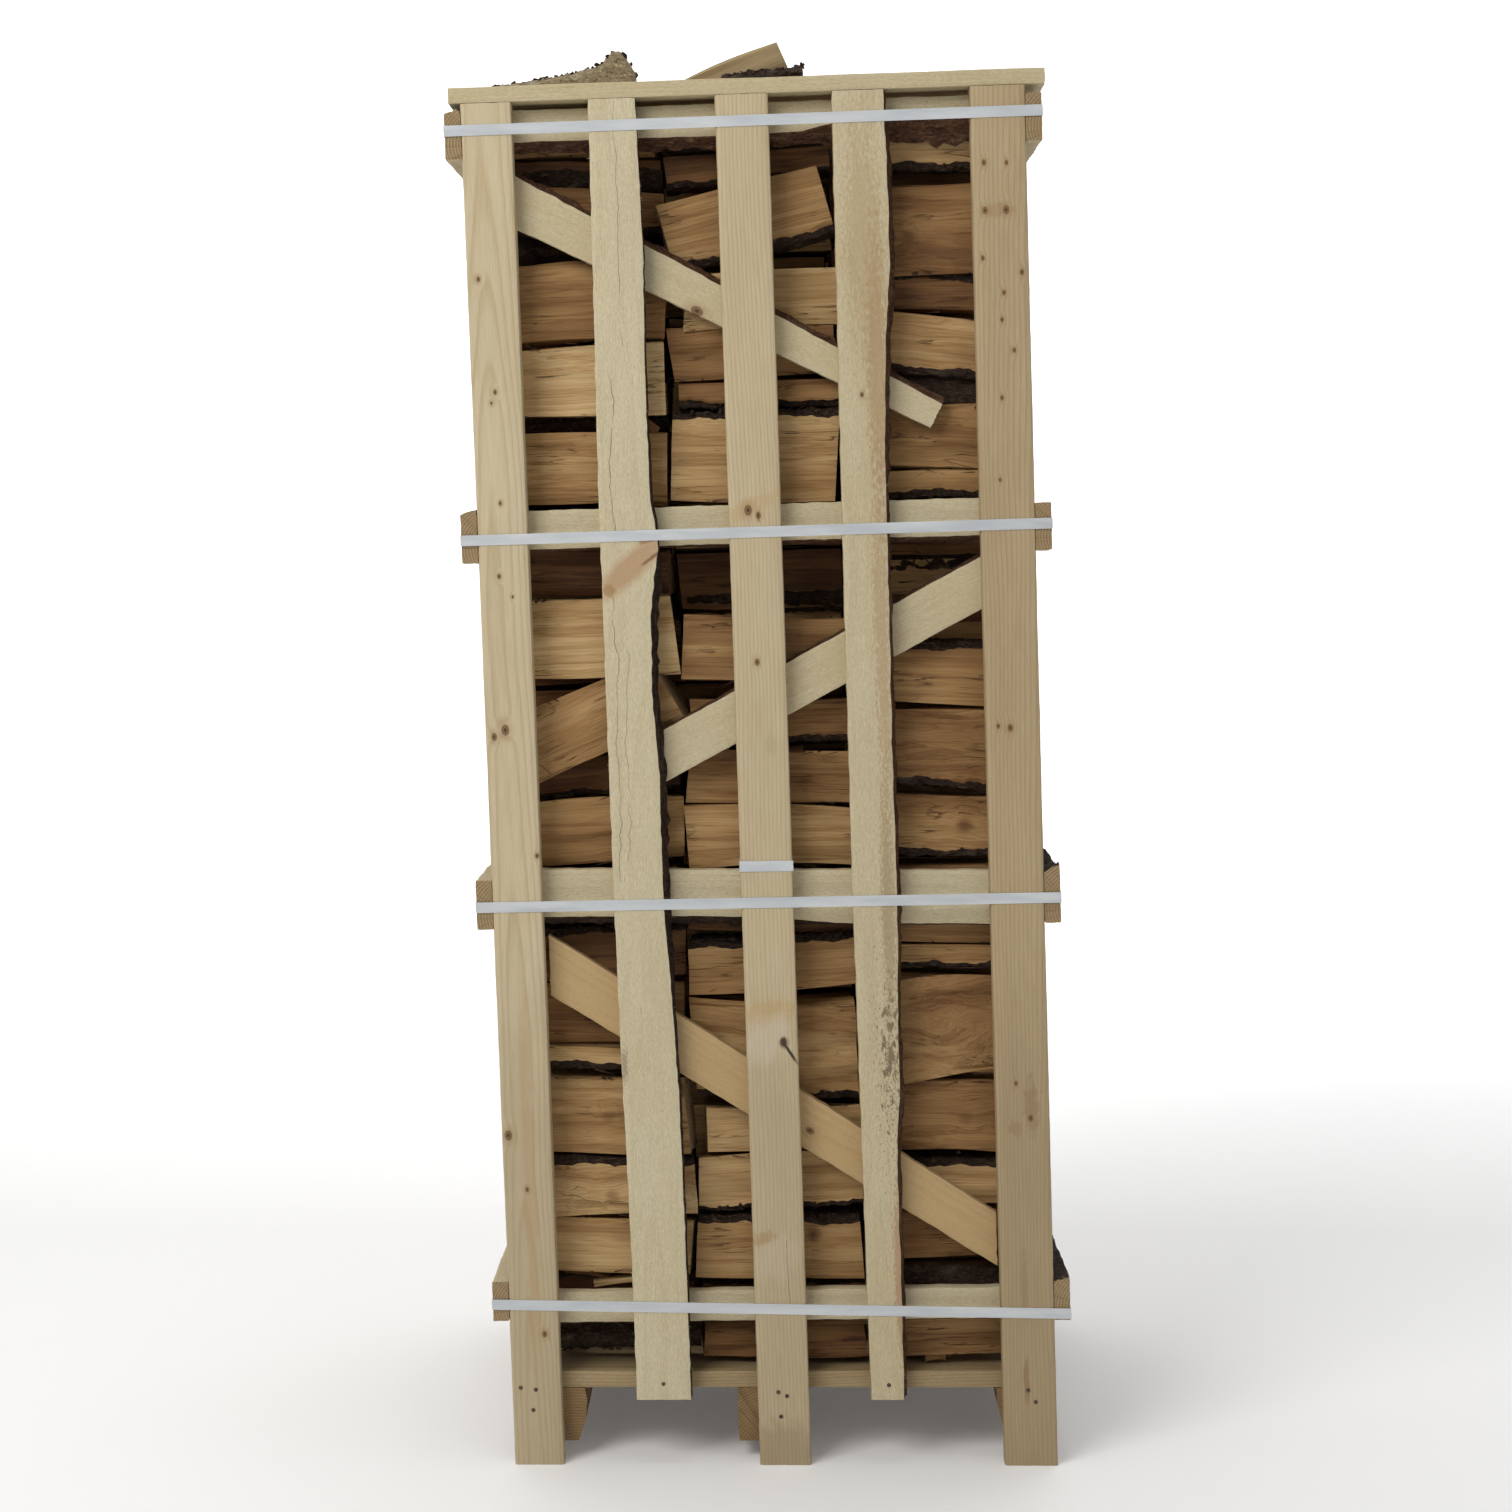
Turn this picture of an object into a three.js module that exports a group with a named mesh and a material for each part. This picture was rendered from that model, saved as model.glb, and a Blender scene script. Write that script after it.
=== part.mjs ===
// A tall slatted crate filled with split birch firewood, on a low pallet base, bound with flat straps.
// Millimetres, +Z up, front towards -Y. Every wooden piece is drawn upright and square, and the whole
// crate is then racked: it leans to the left, and its right side stands a little taller than its left.
import * as THREE from "three";

// ---- Driving dimensions ----

const CLEARANCE = 0.3;

const CRATE_DEPTH = 800;
const FRONT_FACE = -CRATE_DEPTH / 2;
const SLAT_LENGTH = 2062.7;
const SLAT_THICKNESS = 32;
const SHORT_SLAT_FOOT = 102;
const RAIL_THICKNESS = 22;
const BRACE_THICKNESS = 20;
const BRACE_WIDTH = 70;

const POST_OUTER = 415;
const LEFT_POST_INNER = -340;
const RIGHT_POST_INNER = 334;
const MIDDLE_POST = [-40.3, 38];

const SIDE_RAIL_THICKNESS = 24;
const SIDE_RAIL_SETBACK = 1;
const SIDE_SLAT_THICKNESS = 20;
const SIDE_SLAT_WIDTH = 72;
const SIDE_SLAT_CENTRE = 150;

const RUNNER_BOTTOM = 27;
const DECK_BOTTOM = 111;
const DECK_THICKNESS = 26;
const DECK_BOARD_WIDTH = 92;
const DECK_BOARDS = 5;

const TOP_BOARD_THICKNESS = 23.3;
const TOP_BOARD_WIDTH = 95;
const TOP_BOARD_ENDS = [-432, 445];

const STRAP_WIDTH = 16;
const STRAP_THICKNESS = 0.9;

const LOG_LENGTH = 250;
const COLUMN_SPACING = 258;
const COLUMN_HALF_WIDTH = 127;
const STACK_TOP = 2048;
const TIE_HEIGHT = 920;
const TIE_SLOT = 22;

// Sideways lean per millimetre of height, and extra height per millimetre to the right
const LEAN = 0.0327;
const RIGHT_SIDE_RISE = 0.000016;

// Each level has a front rail, a side rail on each side and a strap. Heights are at mid width, and a
// tilt is the rise per millimetre to the right.
const LEVELS = [
  { name: "bottom", rail: [214, 264], railTilt: 0.009, side: [225, 285], strap: 243.4, strapTilt: -0.018 },
  { name: "lower", rail: [828, 912], railTilt: -0.016, side: [830, 905], strap: 866.4, strapTilt: 0.005 },
  { name: "upper", rail: [1402, 1463], railTilt: 0.006, side: [1385, 1455], strap: 1421.5, strapTilt: 0.0075 },
  { name: "top", rail: [1995, 2055], railTilt: 0, side: [1982, 2050], strap: 2024, strapTilt: 0.002 },
];

// ---- Derived dimensions ----

const BACK_FACE = -FRONT_FACE;
const RAIL_FRONT = FRONT_FACE + SLAT_THICKNESS + CLEARANCE;
const BASE_FRONT = RAIL_FRONT;
const STACK_FRONT = RAIL_FRONT + RAIL_THICKNESS + 3;
const DECK_TOP = DECK_BOTTOM + DECK_THICKNESS;
const SIDE_RAIL_INNER = POST_OUTER + CLEARANCE;
const SIDE_RAIL_OUTER = SIDE_RAIL_INNER + SIDE_RAIL_THICKNESS;
const STRAP_INNER_X = SIDE_RAIL_OUTER + CLEARANCE;
const STRAP_OUTER_X = STRAP_INNER_X + STRAP_THICKNESS;
const STRAP_INNER_Y = BACK_FACE + CLEARANCE;

// The origin is under the middle of the crate's box, which the top strap's left end and the bottom
// strap's right end set once the crate leans.
const strapEdge = (level, side, edge) =>
  level.strap + side * level.strapTilt * STRAP_OUTER_X + (edge * STRAP_WIDTH) / 2;
const LEFTMOST_HEIGHT = strapEdge(LEVELS[3], -1, 1);
const RIGHTMOST_HEIGHT = strapEdge(LEVELS[0], 1, -1);
const ORIGIN_SHIFT = (LEAN * (LEFTMOST_HEIGHT + RIGHTMOST_HEIGHT)) / 2;

// ---- Materials ----

const finish = (color, roughness) => () => new THREE.MeshStandardMaterial({ color, roughness, metalness: 0 });
const planedPine = finish(0xc2ab86, 0.6);
const sawnPine = finish(0xbfb18c, 0.75);
const palletWood = finish(0x9f8a63, 0.8);
const birchLog = finish(0x9a7650, 0.85);
const barkLog = finish(0x6b5237, 0.95);
const strapFilm = finish(0xc3cbd6, 0.35);

// ---- Geometry ----

const crate = new THREE.Group();

function rack(geometry) {
  const position = geometry.attributes.position;
  for (let i = 0; i < position.count; i += 1) {
    const x = position.getX(i);
    const z = position.getZ(i);
    position.setX(i, x - LEAN * z + ORIGIN_SHIFT);
    position.setZ(i, z * (1 + RIGHT_SIDE_RISE * x));
  }
  geometry.computeVertexNormals();
  return geometry;
}

function addPiece(name, geometry, material) {
  const mesh = new THREE.Mesh(rack(geometry), material());
  mesh.name = name;
  crate.add(mesh);
}

// A piece whose front-view outline, as [x, z] points anticlockwise, runs straight from yFront to yBack.
function addPrism(name, outline, yFront, yBack, material) {
  const shape = new THREE.Shape(outline.map(([x, z]) => new THREE.Vector2(x, z)));
  const geometry = new THREE.ExtrudeGeometry(shape, { depth: yBack - yFront, bevelEnabled: false });
  geometry.rotateX(Math.PI / 2);
  geometry.translate(0, yBack, 0);
  addPiece(name, geometry, material);
}

const rectangle = (x0, x1, z0, z1) => [[x0, z0], [x1, z0], [x1, z1], [x0, z1]];

function tiltedBand(x0, x1, [z0, z1], tilt) {
  return [[x0, z0 + tilt * x0], [x1, z0 + tilt * x1], [x1, z1 + tilt * x1], [x0, z1 + tilt * x0]];
}

// ---- Front and back walls ----

// Slats 2 and 4 are rough boards with a waney right edge, given as [x, z] from foot to head.
const LEFT_SLAT_EDGE = [[-142, 102], [-148, 420], [-153, 800], [-147, 1010], [-158, 1330], [-153, 1480], [-155, 2062.7]];
const RIGHT_SLAT_EDGE = [[184, 102], [190, 480], [198, 700], [193, 1050], [197, 1330], [207, 1600], [209, 2062.7]];

function wallOutlines() {
  return {
    post_left: rectangle(-POST_OUTER, LEFT_POST_INNER, 0, SLAT_LENGTH),
    slat_left: [[-226, SLAT_LENGTH], [-225, SHORT_SLAT_FOOT], ...LEFT_SLAT_EDGE],
    post_middle: rectangle(MIDDLE_POST[0], MIDDLE_POST[1], 0, SLAT_LENGTH),
    slat_right: [[131, SLAT_LENGTH], [126, 1300], [133, SHORT_SLAT_FOOT], ...RIGHT_SLAT_EDGE],
    post_right: rectangle(RIGHT_POST_INNER, POST_OUTER, 0, SLAT_LENGTH),
  };
}

// Each brace is a board along a centre line from [x, z] to [x, z], its ends cut square or upright.
function squareCutBrace([x0, z0], [x1, z1]) {
  const length = Math.hypot(x1 - x0, z1 - z0);
  const offsetX = ((z1 - z0) / length) * (BRACE_WIDTH / 2);
  const offsetZ = ((x1 - x0) / length) * (BRACE_WIDTH / 2);
  return [
    [x0 + offsetX, z0 - offsetZ],
    [x1 + offsetX, z1 - offsetZ],
    [x1 - offsetX, z1 + offsetZ],
    [x0 - offsetX, z0 + offsetZ],
  ];
}

function uprightCutBrace([x0, z0], [x1, z1]) {
  const length = Math.hypot(x1 - x0, z1 - z0);
  const halfHeight = (BRACE_WIDTH / 2) * (length / (x1 - x0));
  return [[x0, z0 - halfHeight], [x1, z1 - halfHeight], [x1, z1 + halfHeight], [x0, z0 + halfHeight]];
}

const BRACES = {
  brace_top: squareCutBrace([-375, 1934], [276, 1590.7]),
  brace_middle: squareCutBrace([-182, 1072.5], [385, 1351]),
  brace_bottom: uprightCutBrace([-336, 765.5], [331, 342.5]),
};

for (const [wall, facing] of [["front", 1], ["back", -1]]) {
  const layer = (near, thickness) => {
    const a = facing * near;
    const b = facing * (near + thickness);
    return [Math.min(a, b), Math.max(a, b)];
  };
  for (const [name, outline] of Object.entries(wallOutlines())) {
    const material = name.startsWith("post") ? planedPine : sawnPine;
    addPrism(`${name}_${wall}`, outline, ...layer(FRONT_FACE, SLAT_THICKNESS), material);
  }
  for (const level of LEVELS) {
    const band = tiltedBand(-POST_OUTER, POST_OUTER, level.rail, level.railTilt);
    addPrism(`rail_${level.name}_${wall}`, band, ...layer(RAIL_FRONT, RAIL_THICKNESS), sawnPine);
  }
  for (const [name, outline] of Object.entries(BRACES)) {
    addPrism(`${name}_${wall}`, outline, ...layer(RAIL_FRONT, BRACE_THICKNESS), sawnPine);
  }
  const topBoard = rectangle(...TOP_BOARD_ENDS, SLAT_LENGTH + CLEARANCE, SLAT_LENGTH + TOP_BOARD_THICKNESS);
  addPrism(`top_board_${wall}`, topBoard, ...layer(FRONT_FACE, TOP_BOARD_WIDTH), sawnPine);
}

// ---- Side walls ----

for (const [side, direction] of [["left", -1], ["right", 1]]) {
  const across = (a, b) => [Math.min(direction * a, direction * b), Math.max(direction * a, direction * b)];
  for (const level of LEVELS) {
    const outline = rectangle(...across(SIDE_RAIL_INNER, SIDE_RAIL_OUTER), ...level.side);
    const yFront = FRONT_FACE + SIDE_RAIL_SETBACK;
    addPrism(`side_rail_${level.name}_${side}`, outline, yFront, -yFront, sawnPine);
  }
  for (const [place, centre] of [["front", -SIDE_SLAT_CENTRE], ["back", SIDE_SLAT_CENTRE]]) {
    const slatFoot = DECK_TOP + CLEARANCE;
    const outline = rectangle(...across(POST_OUTER - SIDE_SLAT_THICKNESS, POST_OUTER), slatFoot, STACK_TOP);
    const halfWidth = SIDE_SLAT_WIDTH / 2;
    addPrism(`side_slat_${place}_${side}`, outline, centre - halfWidth, centre + halfWidth, sawnPine);
  }
}

// ---- Base ----

// Runners are sawn on three faces; a rounded, waney side takes off one lower corner.
const RUNNERS = {
  runner_left: [[-405, RUNNER_BOTTOM], [-318, RUNNER_BOTTOM], [-307, 62], [-304, 92], [-306, DECK_BOTTOM], [-405, DECK_BOTTOM]],
  runner_middle: rectangle(-72, 19, RUNNER_BOTTOM, DECK_BOTTOM),
  runner_right: [[346, RUNNER_BOTTOM], [412, RUNNER_BOTTOM], [412, DECK_BOTTOM], [326, DECK_BOTTOM], [327, 88], [334, 56]],
};
for (const [name, outline] of Object.entries(RUNNERS)) {
  addPrism(name, outline, BASE_FRONT, -BASE_FRONT, palletWood);
}

const deckPitch = (-2 * BASE_FRONT - DECK_BOARD_WIDTH) / (DECK_BOARDS - 1);
for (let i = 0; i < DECK_BOARDS; i += 1) {
  const yFront = BASE_FRONT + i * deckPitch;
  const outline = rectangle(-POST_OUTER, POST_OUTER, DECK_BOTTOM + CLEARANCE, DECK_TOP);
  addPrism(`deck_board_${i + 1}`, outline, yFront, yFront + DECK_BOARD_WIDTH, palletWood);
}

// ---- Firewood ----

// A column of logs lying left to right; its sides step in and out where the courses do.
const COURSE_HEIGHT = 82;
const COURSE_STEP = 5;

function columnOutline(centre, zBottom, zTop) {
  const courses = Math.round((zTop - zBottom) / COURSE_HEIGHT);
  const height = (zTop - zBottom) / courses;
  const right = [];
  const left = [];
  for (let i = 0; i < courses; i += 1) {
    const rightInset = i % 2 === 0 ? 0 : COURSE_STEP;
    const leftInset = COURSE_STEP - rightInset;
    const z0 = zBottom + i * height;
    right.push([centre + COLUMN_HALF_WIDTH - rightInset, z0], [centre + COLUMN_HALF_WIDTH - rightInset, z0 + height]);
    left.unshift([centre - COLUMN_HALF_WIDTH + leftInset, z0 + height], [centre - COLUMN_HALF_WIDTH + leftInset, z0]);
  }
  return [...right, ...left];
}

const STACK_BOTTOM = DECK_TOP + CLEARANCE;
const COLUMNS = {
  log_stack_left: columnOutline(-COLUMN_SPACING, STACK_BOTTOM, STACK_TOP),
  log_stack_middle_lower: columnOutline(0, STACK_BOTTOM, TIE_HEIGHT - TIE_SLOT / 2),
  log_stack_middle_upper: columnOutline(0, TIE_HEIGHT + TIE_SLOT / 2, STACK_TOP),
  log_stack_right: columnOutline(COLUMN_SPACING, STACK_BOTTOM, STACK_TOP),
};
for (const [name, outline] of Object.entries(COLUMNS)) {
  addPrism(name, outline, STACK_FRONT, -STACK_FRONT, birchLog);
}

// Two loose logs lie on the top course and rise above the top boards.
const LOOSE_BOTTOM = STACK_TOP + CLEARANCE;
const looseBarkLog = [
  [-165 - LOG_LENGTH, LOOSE_BOTTOM],
  [-172, LOOSE_BOTTOM],
  [-160, 2098],
  [-168, 2136],
  [-182, 2146],
  [-225, 2128],
  [-330, 2108],
  [-160 - LOG_LENGTH, 2092],
];
const looseSplitLog = [[-156, LOOSE_BOTTOM], [96, LOOSE_BOTTOM], [90, 2095], [51, 2160], [-156, 2087]];
addPrism("loose_log_left", looseBarkLog, -285, -190, barkLog);
addPrism("loose_log_middle", looseSplitLog, -285, -200, birchLog);

// ---- Straps ----

// A flat strap pulled tight round a rectangle, its height rising to the right by tilt.
function addStrap(name, [xLeft, xRight], yInner, centreHeight, tilt) {
  const loop = (xa, xb, y) => [[xa, -y], [xb, -y], [xb, y], [xa, y]].map(([x, yy]) => new THREE.Vector2(x, yy));
  const outer = new THREE.Shape(loop(xLeft - STRAP_THICKNESS, xRight + STRAP_THICKNESS, yInner + STRAP_THICKNESS));
  outer.holes.push(new THREE.Path(loop(xLeft, xRight, yInner)));
  const geometry = new THREE.ExtrudeGeometry(outer, { depth: STRAP_WIDTH, bevelEnabled: false });
  const position = geometry.attributes.position;
  for (let i = 0; i < position.count; i += 1) {
    position.setZ(i, position.getZ(i) + centreHeight - STRAP_WIDTH / 2 + tilt * position.getX(i));
  }
  addPiece(name, geometry, strapFilm);
}

for (const level of LEVELS) {
  addStrap(`strap_${level.name}`, [-STRAP_INNER_X, STRAP_INNER_X], STRAP_INNER_Y, level.strap, level.strapTilt);
}
const TIE_SIDES = [MIDDLE_POST[0] - CLEARANCE, MIDDLE_POST[1] + CLEARANCE];
addStrap("cross_tie", TIE_SIDES, STRAP_INNER_Y, TIE_HEIGHT + 1.5, 0);

export default crate;
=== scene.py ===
# A tall slatted crate of split birch firewood: timber, straps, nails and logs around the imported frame.
# Metres, +Z up, front towards -Y.
import math

import bpy
import numpy as np
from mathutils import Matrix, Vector


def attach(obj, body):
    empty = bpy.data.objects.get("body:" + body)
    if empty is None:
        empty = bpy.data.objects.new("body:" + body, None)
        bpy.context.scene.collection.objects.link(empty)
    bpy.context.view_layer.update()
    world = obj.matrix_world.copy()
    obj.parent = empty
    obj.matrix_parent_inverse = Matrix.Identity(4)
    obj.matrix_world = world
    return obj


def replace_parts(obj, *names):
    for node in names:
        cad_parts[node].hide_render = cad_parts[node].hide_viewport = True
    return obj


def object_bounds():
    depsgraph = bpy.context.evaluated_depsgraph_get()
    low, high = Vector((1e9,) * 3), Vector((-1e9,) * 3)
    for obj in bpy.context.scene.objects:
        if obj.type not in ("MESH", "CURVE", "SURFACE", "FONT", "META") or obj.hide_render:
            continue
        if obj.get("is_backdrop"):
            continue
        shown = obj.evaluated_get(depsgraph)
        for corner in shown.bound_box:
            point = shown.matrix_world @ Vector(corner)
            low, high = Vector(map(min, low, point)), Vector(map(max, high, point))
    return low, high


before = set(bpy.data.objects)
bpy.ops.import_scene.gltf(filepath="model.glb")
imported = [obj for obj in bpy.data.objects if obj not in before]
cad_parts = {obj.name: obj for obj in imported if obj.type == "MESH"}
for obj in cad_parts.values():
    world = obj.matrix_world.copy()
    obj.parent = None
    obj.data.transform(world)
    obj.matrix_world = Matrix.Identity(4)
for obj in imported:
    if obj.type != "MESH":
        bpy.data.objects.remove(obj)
CAD_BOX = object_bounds()
TAU = 2 * math.pi
MM = 0.001
LEAN_ROUNDS = 6
SHARP_DEGREES = 38
NO_KNOT = (9, 9, 9)


# ---- The crate's lean, read from its outer posts ----

def node_points(name):
    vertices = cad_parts[name].data.vertices
    points = np.empty(len(vertices) * 3)
    vertices.foreach_get("co", points)
    return points.reshape(-1, 3)


left_post = node_points("post_left_front")
right_post = node_points("post_right_front")
FOOT_LEFT = left_post[left_post[:, 2] < MM, 0].min()
FOOT_RIGHT = right_post[right_post[:, 2] < MM, 0].max()
HALF_SPAN = (FOOT_RIGHT - FOOT_LEFT) / 2
ORIGIN_SHIFT = (FOOT_RIGHT + FOOT_LEFT) / 2
head_left = left_post[left_post[:, 0].argmin()]
high_right = right_post[right_post[:, 2] > 1]
head_right = high_right[high_right[:, 0].argmax()]
SLAT_LENGTH = (head_left[2] + head_right[2]) / 2
RIGHT_SIDE_RISE = (head_right[2] - head_left[2]) / (2 * HALF_SPAN * SLAT_LENGTH)
LEAN = (ORIGIN_SHIFT - (head_left[0] + head_right[0]) / 2) / SLAT_LENGTH


def rack(points):
    """Upright crate coordinates to the leaning crate's."""
    x, y, z = points[:, 0], points[:, 1], points[:, 2]
    return np.stack([x - LEAN * z + ORIGIN_SHIFT, y, z * (1 + RIGHT_SIDE_RISE * x)], axis=1)


def upright(name):
    """A node's points with the lean taken out."""
    racked = node_points(name)
    x, z = racked[:, 0].copy(), racked[:, 2].copy()
    for _ in range(LEAN_ROUNDS):
        x = racked[:, 0] + LEAN * z - ORIGIN_SHIFT
        z = racked[:, 2] / (1 + RIGHT_SIDE_RISE * x)
    return np.stack([x, racked[:, 1], z], axis=1)


def upright_box(name):
    points = upright(name)
    return points.min(axis=0), points.max(axis=0)


# ---- Mesh helpers ----

def add_object(name, data):
    made = bpy.data.objects.new(name, data)
    bpy.context.scene.collection.objects.link(made)
    return made


def set_values(mesh, name, values):
    """Gives each point a number or a vector, for materials and node trees to read."""
    values = np.asarray(values, np.float32)
    kind, key = ("FLOAT_VECTOR", "vector") if values.ndim == 2 else ("FLOAT", "value")
    mesh.attributes.new(name, kind, "POINT").data.foreach_set(key, values.ravel())


class Pile:
    """Collects lofted solids that end up in one mesh."""

    def __init__(self):
        self.points, self.faces, self.slots = [], [], []
        self.values = {"grain": [], "place": [], "knot": [], "tone": [], "curl": []}
        self.count = 0

    def add(self, points, faces, slots, coords, tone, curl=0.0, knot=NO_KNOT):
        size = len(points)
        self.points.append(points)
        self.faces.extend([tuple(i + self.count for i in face) for face in faces])
        self.slots.extend(slots)
        grain, place = coords[:, :3], coords[:, 3:]
        rows = (grain, place, np.tile(knot, (size, 1)), np.full(size, tone), np.full(size, curl))
        for values, row in zip(self.values.values(), rows):
            values.append(row)
        self.count += size

    def build(self, name, materials):
        mesh = bpy.data.meshes.new(name)
        mesh.from_pydata(rack(np.concatenate(self.points)).tolist(), [], self.faces)
        mesh.update()
        for material in materials:
            mesh.materials.append(material)
        mesh.polygons.foreach_set("material_index", self.slots)
        for label, values in self.values.items():
            set_values(mesh, label, np.concatenate(values))
        mesh.shade_smooth()
        mesh.set_sharp_from_angle(angle=math.radians(SHARP_DEGREES))
        piece = add_object(name, mesh)
        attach(piece, "root")
        return piece


def bridge(lower, upper, flip=False):
    """Faces from a ring of point numbers to the next ring, or to a single point."""
    corners = [lower, np.roll(lower, -1)]
    corners += [np.roll(upper, -1), upper] if np.ndim(upper) else [np.full(len(lower), upper)]
    return [face[::-1] if flip else face for face in zip(*corners)]


def loft(rings, grain, side_slots, end_slot, end_rings=2):
    """Skins a row of rings, shaped (stations, ring, 3), and closes both ends with smaller rings.

    grain carries each point's grain and place, six numbers in all.
    """
    stations, count, _ = rings.shape
    first = rings[0]
    axis = rings[-1].mean(axis=0) - first.mean(axis=0)
    around = np.cross(first, np.roll(first, -1, axis=0)).sum(axis=0)
    if around @ axis < 0:
        rings, grain, side_slots = rings[:, ::-1], grain[:, ::-1], np.roll(side_slots[::-1], -1)
    points, coords = [rings.reshape(-1, 3)], [grain.reshape(-1, 6)]
    numbers = np.arange(stations * count).reshape(stations, count)
    faces, slots = [], []
    for lower, upper in zip(numbers, numbers[1:]):
        faces += bridge(lower, upper)
        slots += map(int, side_slots)
    total = stations * count
    for station, flip in ((0, True), (stations - 1, False)):
        outer = numbers[station]
        middle, middle_grain = rings[station].mean(axis=0), grain[station].mean(axis=0)
        for step in range(1, end_rings + 1):
            share = 1 - step / (end_rings + 1)
            points.append(middle + (rings[station] - middle) * share)
            coords.append(middle_grain + (grain[station] - middle_grain) * share)
            inner = np.arange(count) + total
            faces += bridge(outer, inner, flip)
            total += count
            outer = inner
        points.append(middle[None])
        coords.append(middle_grain[None])
        faces += bridge(outer, total, flip)
        slots += [end_slot] * (count * (end_rings + 1))
        total += 1
    return np.concatenate(points), faces, slots, np.concatenate(coords)


def ripple(rng, position, waves):
    """A smooth random line: a sum of sines given as (amplitude, waves per metre)."""
    line = np.zeros_like(position)
    for amplitude, frequency in waves:
        rate = frequency * rng.uniform(0.7, 1.3)
        line = line + amplitude * np.sin(TAU * (rate * position + rng.random()))
    return line


def relief(rng, across, along, amplitude, across_rate, along_rate, count=7):
    """A smooth random surface, rough across the grain and slow along it."""
    height = np.zeros(np.broadcast(across, along).shape)
    for _ in range(count):
        rate = across_rate * rng.uniform(0.4, 1.7)
        height += np.sin(TAU * (rate * across + along_rate * rng.uniform(-1, 1) * along + rng.random()))
    return height * amplitude / math.sqrt(count)


# ---- Materials ----

WHITE = (1, 1, 1)
# A knot is longer along the board than across it.
KNOT_STRETCH = 0.7
FAR_AWAY = 99.0


class Value:
    """A node's output that can be added, subtracted, multiplied and divided."""

    def __init__(self, owner, socket):
        self.owner, self.socket = owner, socket

    def __add__(self, other):
        return self.owner.math("ADD", self, other)

    def __sub__(self, other):
        return self.owner.math("SUBTRACT", self, other)

    def __mul__(self, other):
        return self.owner.math("MULTIPLY", self, other)

    def __truediv__(self, other):
        return self.owner.math("DIVIDE", self, other)

    def __abs__(self):
        return self.owner.math("ABSOLUTE", self)


class Nodes:
    """A node tree, with short calls that add nodes to it."""

    def __init__(self, tree):
        self.tree = tree

    def node(self, kind, inputs=None, output=0, **properties):
        made = self.tree.nodes.new(kind)
        for key, value in properties.items():
            setattr(made, key, value)
        for key, value in (inputs or {}).items():
            self.put(value, made.inputs[key])
        return Value(self, made.outputs[output])

    def put(self, value, socket):
        if isinstance(value, Value):
            self.tree.links.new(value.socket, socket)
        else:
            socket.default_value = value

    def math(self, operation, a, b=0.0, clamp=False):
        return self.node("ShaderNodeMath", {0: a, 1: b}, operation=operation, use_clamp=clamp)


class Shader(Nodes):
    """A material's node tree, with the nodes that wood needs."""

    def __init__(self, name):
        self.material = bpy.data.materials.new(name)
        self.material.use_nodes = True
        super().__init__(self.material.node_tree)
        self.surface = self.tree.nodes["Principled BSDF"]

    def distance(self, a, b):
        return self.node("ShaderNodeVectorMath", {0: a, 1: b}, output=1, operation="DISTANCE")

    def parts(self, vector):
        made = self.tree.nodes.new("ShaderNodeSeparateXYZ")
        self.put(vector, made.inputs[0])
        return [Value(self, part) for part in made.outputs]

    def attribute(self, name, output=1):
        return self.node("ShaderNodeAttribute", output=output, attribute_name=name)

    def scaled(self, vector, scale, shift=(0, 0, 0)):
        return self.node("ShaderNodeMapping", {"Vector": vector, "Scale": scale, "Location": shift})

    def noise(self, vector, scale, shift=(0, 0, 0), detail=3.0, rough=0.55, distortion=0.0, output=0):
        inputs = {"Vector": self.scaled(vector, scale, shift), "Scale": 1.0, "Detail": detail}
        inputs.update({"Roughness": rough, "Distortion": distortion})
        return self.node("ShaderNodeTexNoise", inputs, output)

    def band(self, value, low, high, out_low=0.0, out_high=1.0):
        inputs = {"Value": value, "From Min": low, "From Max": high}
        inputs.update({"To Min": out_low, "To Max": out_high})
        return self.node("ShaderNodeMapRange", inputs, clamp=True)

    def ramp(self, value, stops):
        """Colours along a value, from [place, colour or grey] stops."""
        made = self.tree.nodes.new("ShaderNodeValToRGB")
        self.put(value, made.inputs[0])
        ramp = made.color_ramp
        while len(ramp.elements) < len(stops):
            ramp.elements.new(1.0)
        for element, (place, colour) in zip(ramp.elements, stops):
            element.position = place
            element.color = (*(colour if isinstance(colour, tuple) else (colour,) * 3), 1)
        return Value(self, made.outputs[0])

    def mix(self, share, a, b, blend="MIX"):
        made = self.tree.nodes.new("ShaderNodeMix")
        made.data_type, made.blend_type = "RGBA", blend
        for socket, value in ((made.inputs[0], share), (made.inputs[6], a), (made.inputs[7], b)):
            self.put((*value, 1) if isinstance(value, tuple) else value, socket)
        return Value(self, made.outputs[2])

    def veiled(self, share, colour, value, stops):
        """Darkens a colour by a ramp along a value."""
        return self.mix(share, colour, self.ramp(value, stops), "MULTIPLY")

    def finish(self, colour, height, depth, roughness=0.7):
        self.put(colour, self.surface.inputs["Base Color"])
        self.put(roughness, self.surface.inputs["Roughness"])
        self.surface.inputs["Specular IOR Level"].default_value = 0.3
        bump = self.node("ShaderNodeBump", {"Height": height, "Distance": depth, "Strength": 1.0})
        self.put(bump, self.surface.inputs["Normal"])
        return self.material


def growth_rings(shader, grain, spacing, wander, bend=0.0):
    """Growth rings round a pith along the board, as 0 to 1 from early to late wood."""
    drift = shader.noise(grain, (1.2, 8, 8), detail=2.0) - 0.5
    _, across, deep = shader.parts(grain)
    radius = shader.math("SQRT", across * across + deep * deep)
    return shader.math("FRACT", radius / spacing + drift * wander + bend)


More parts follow.
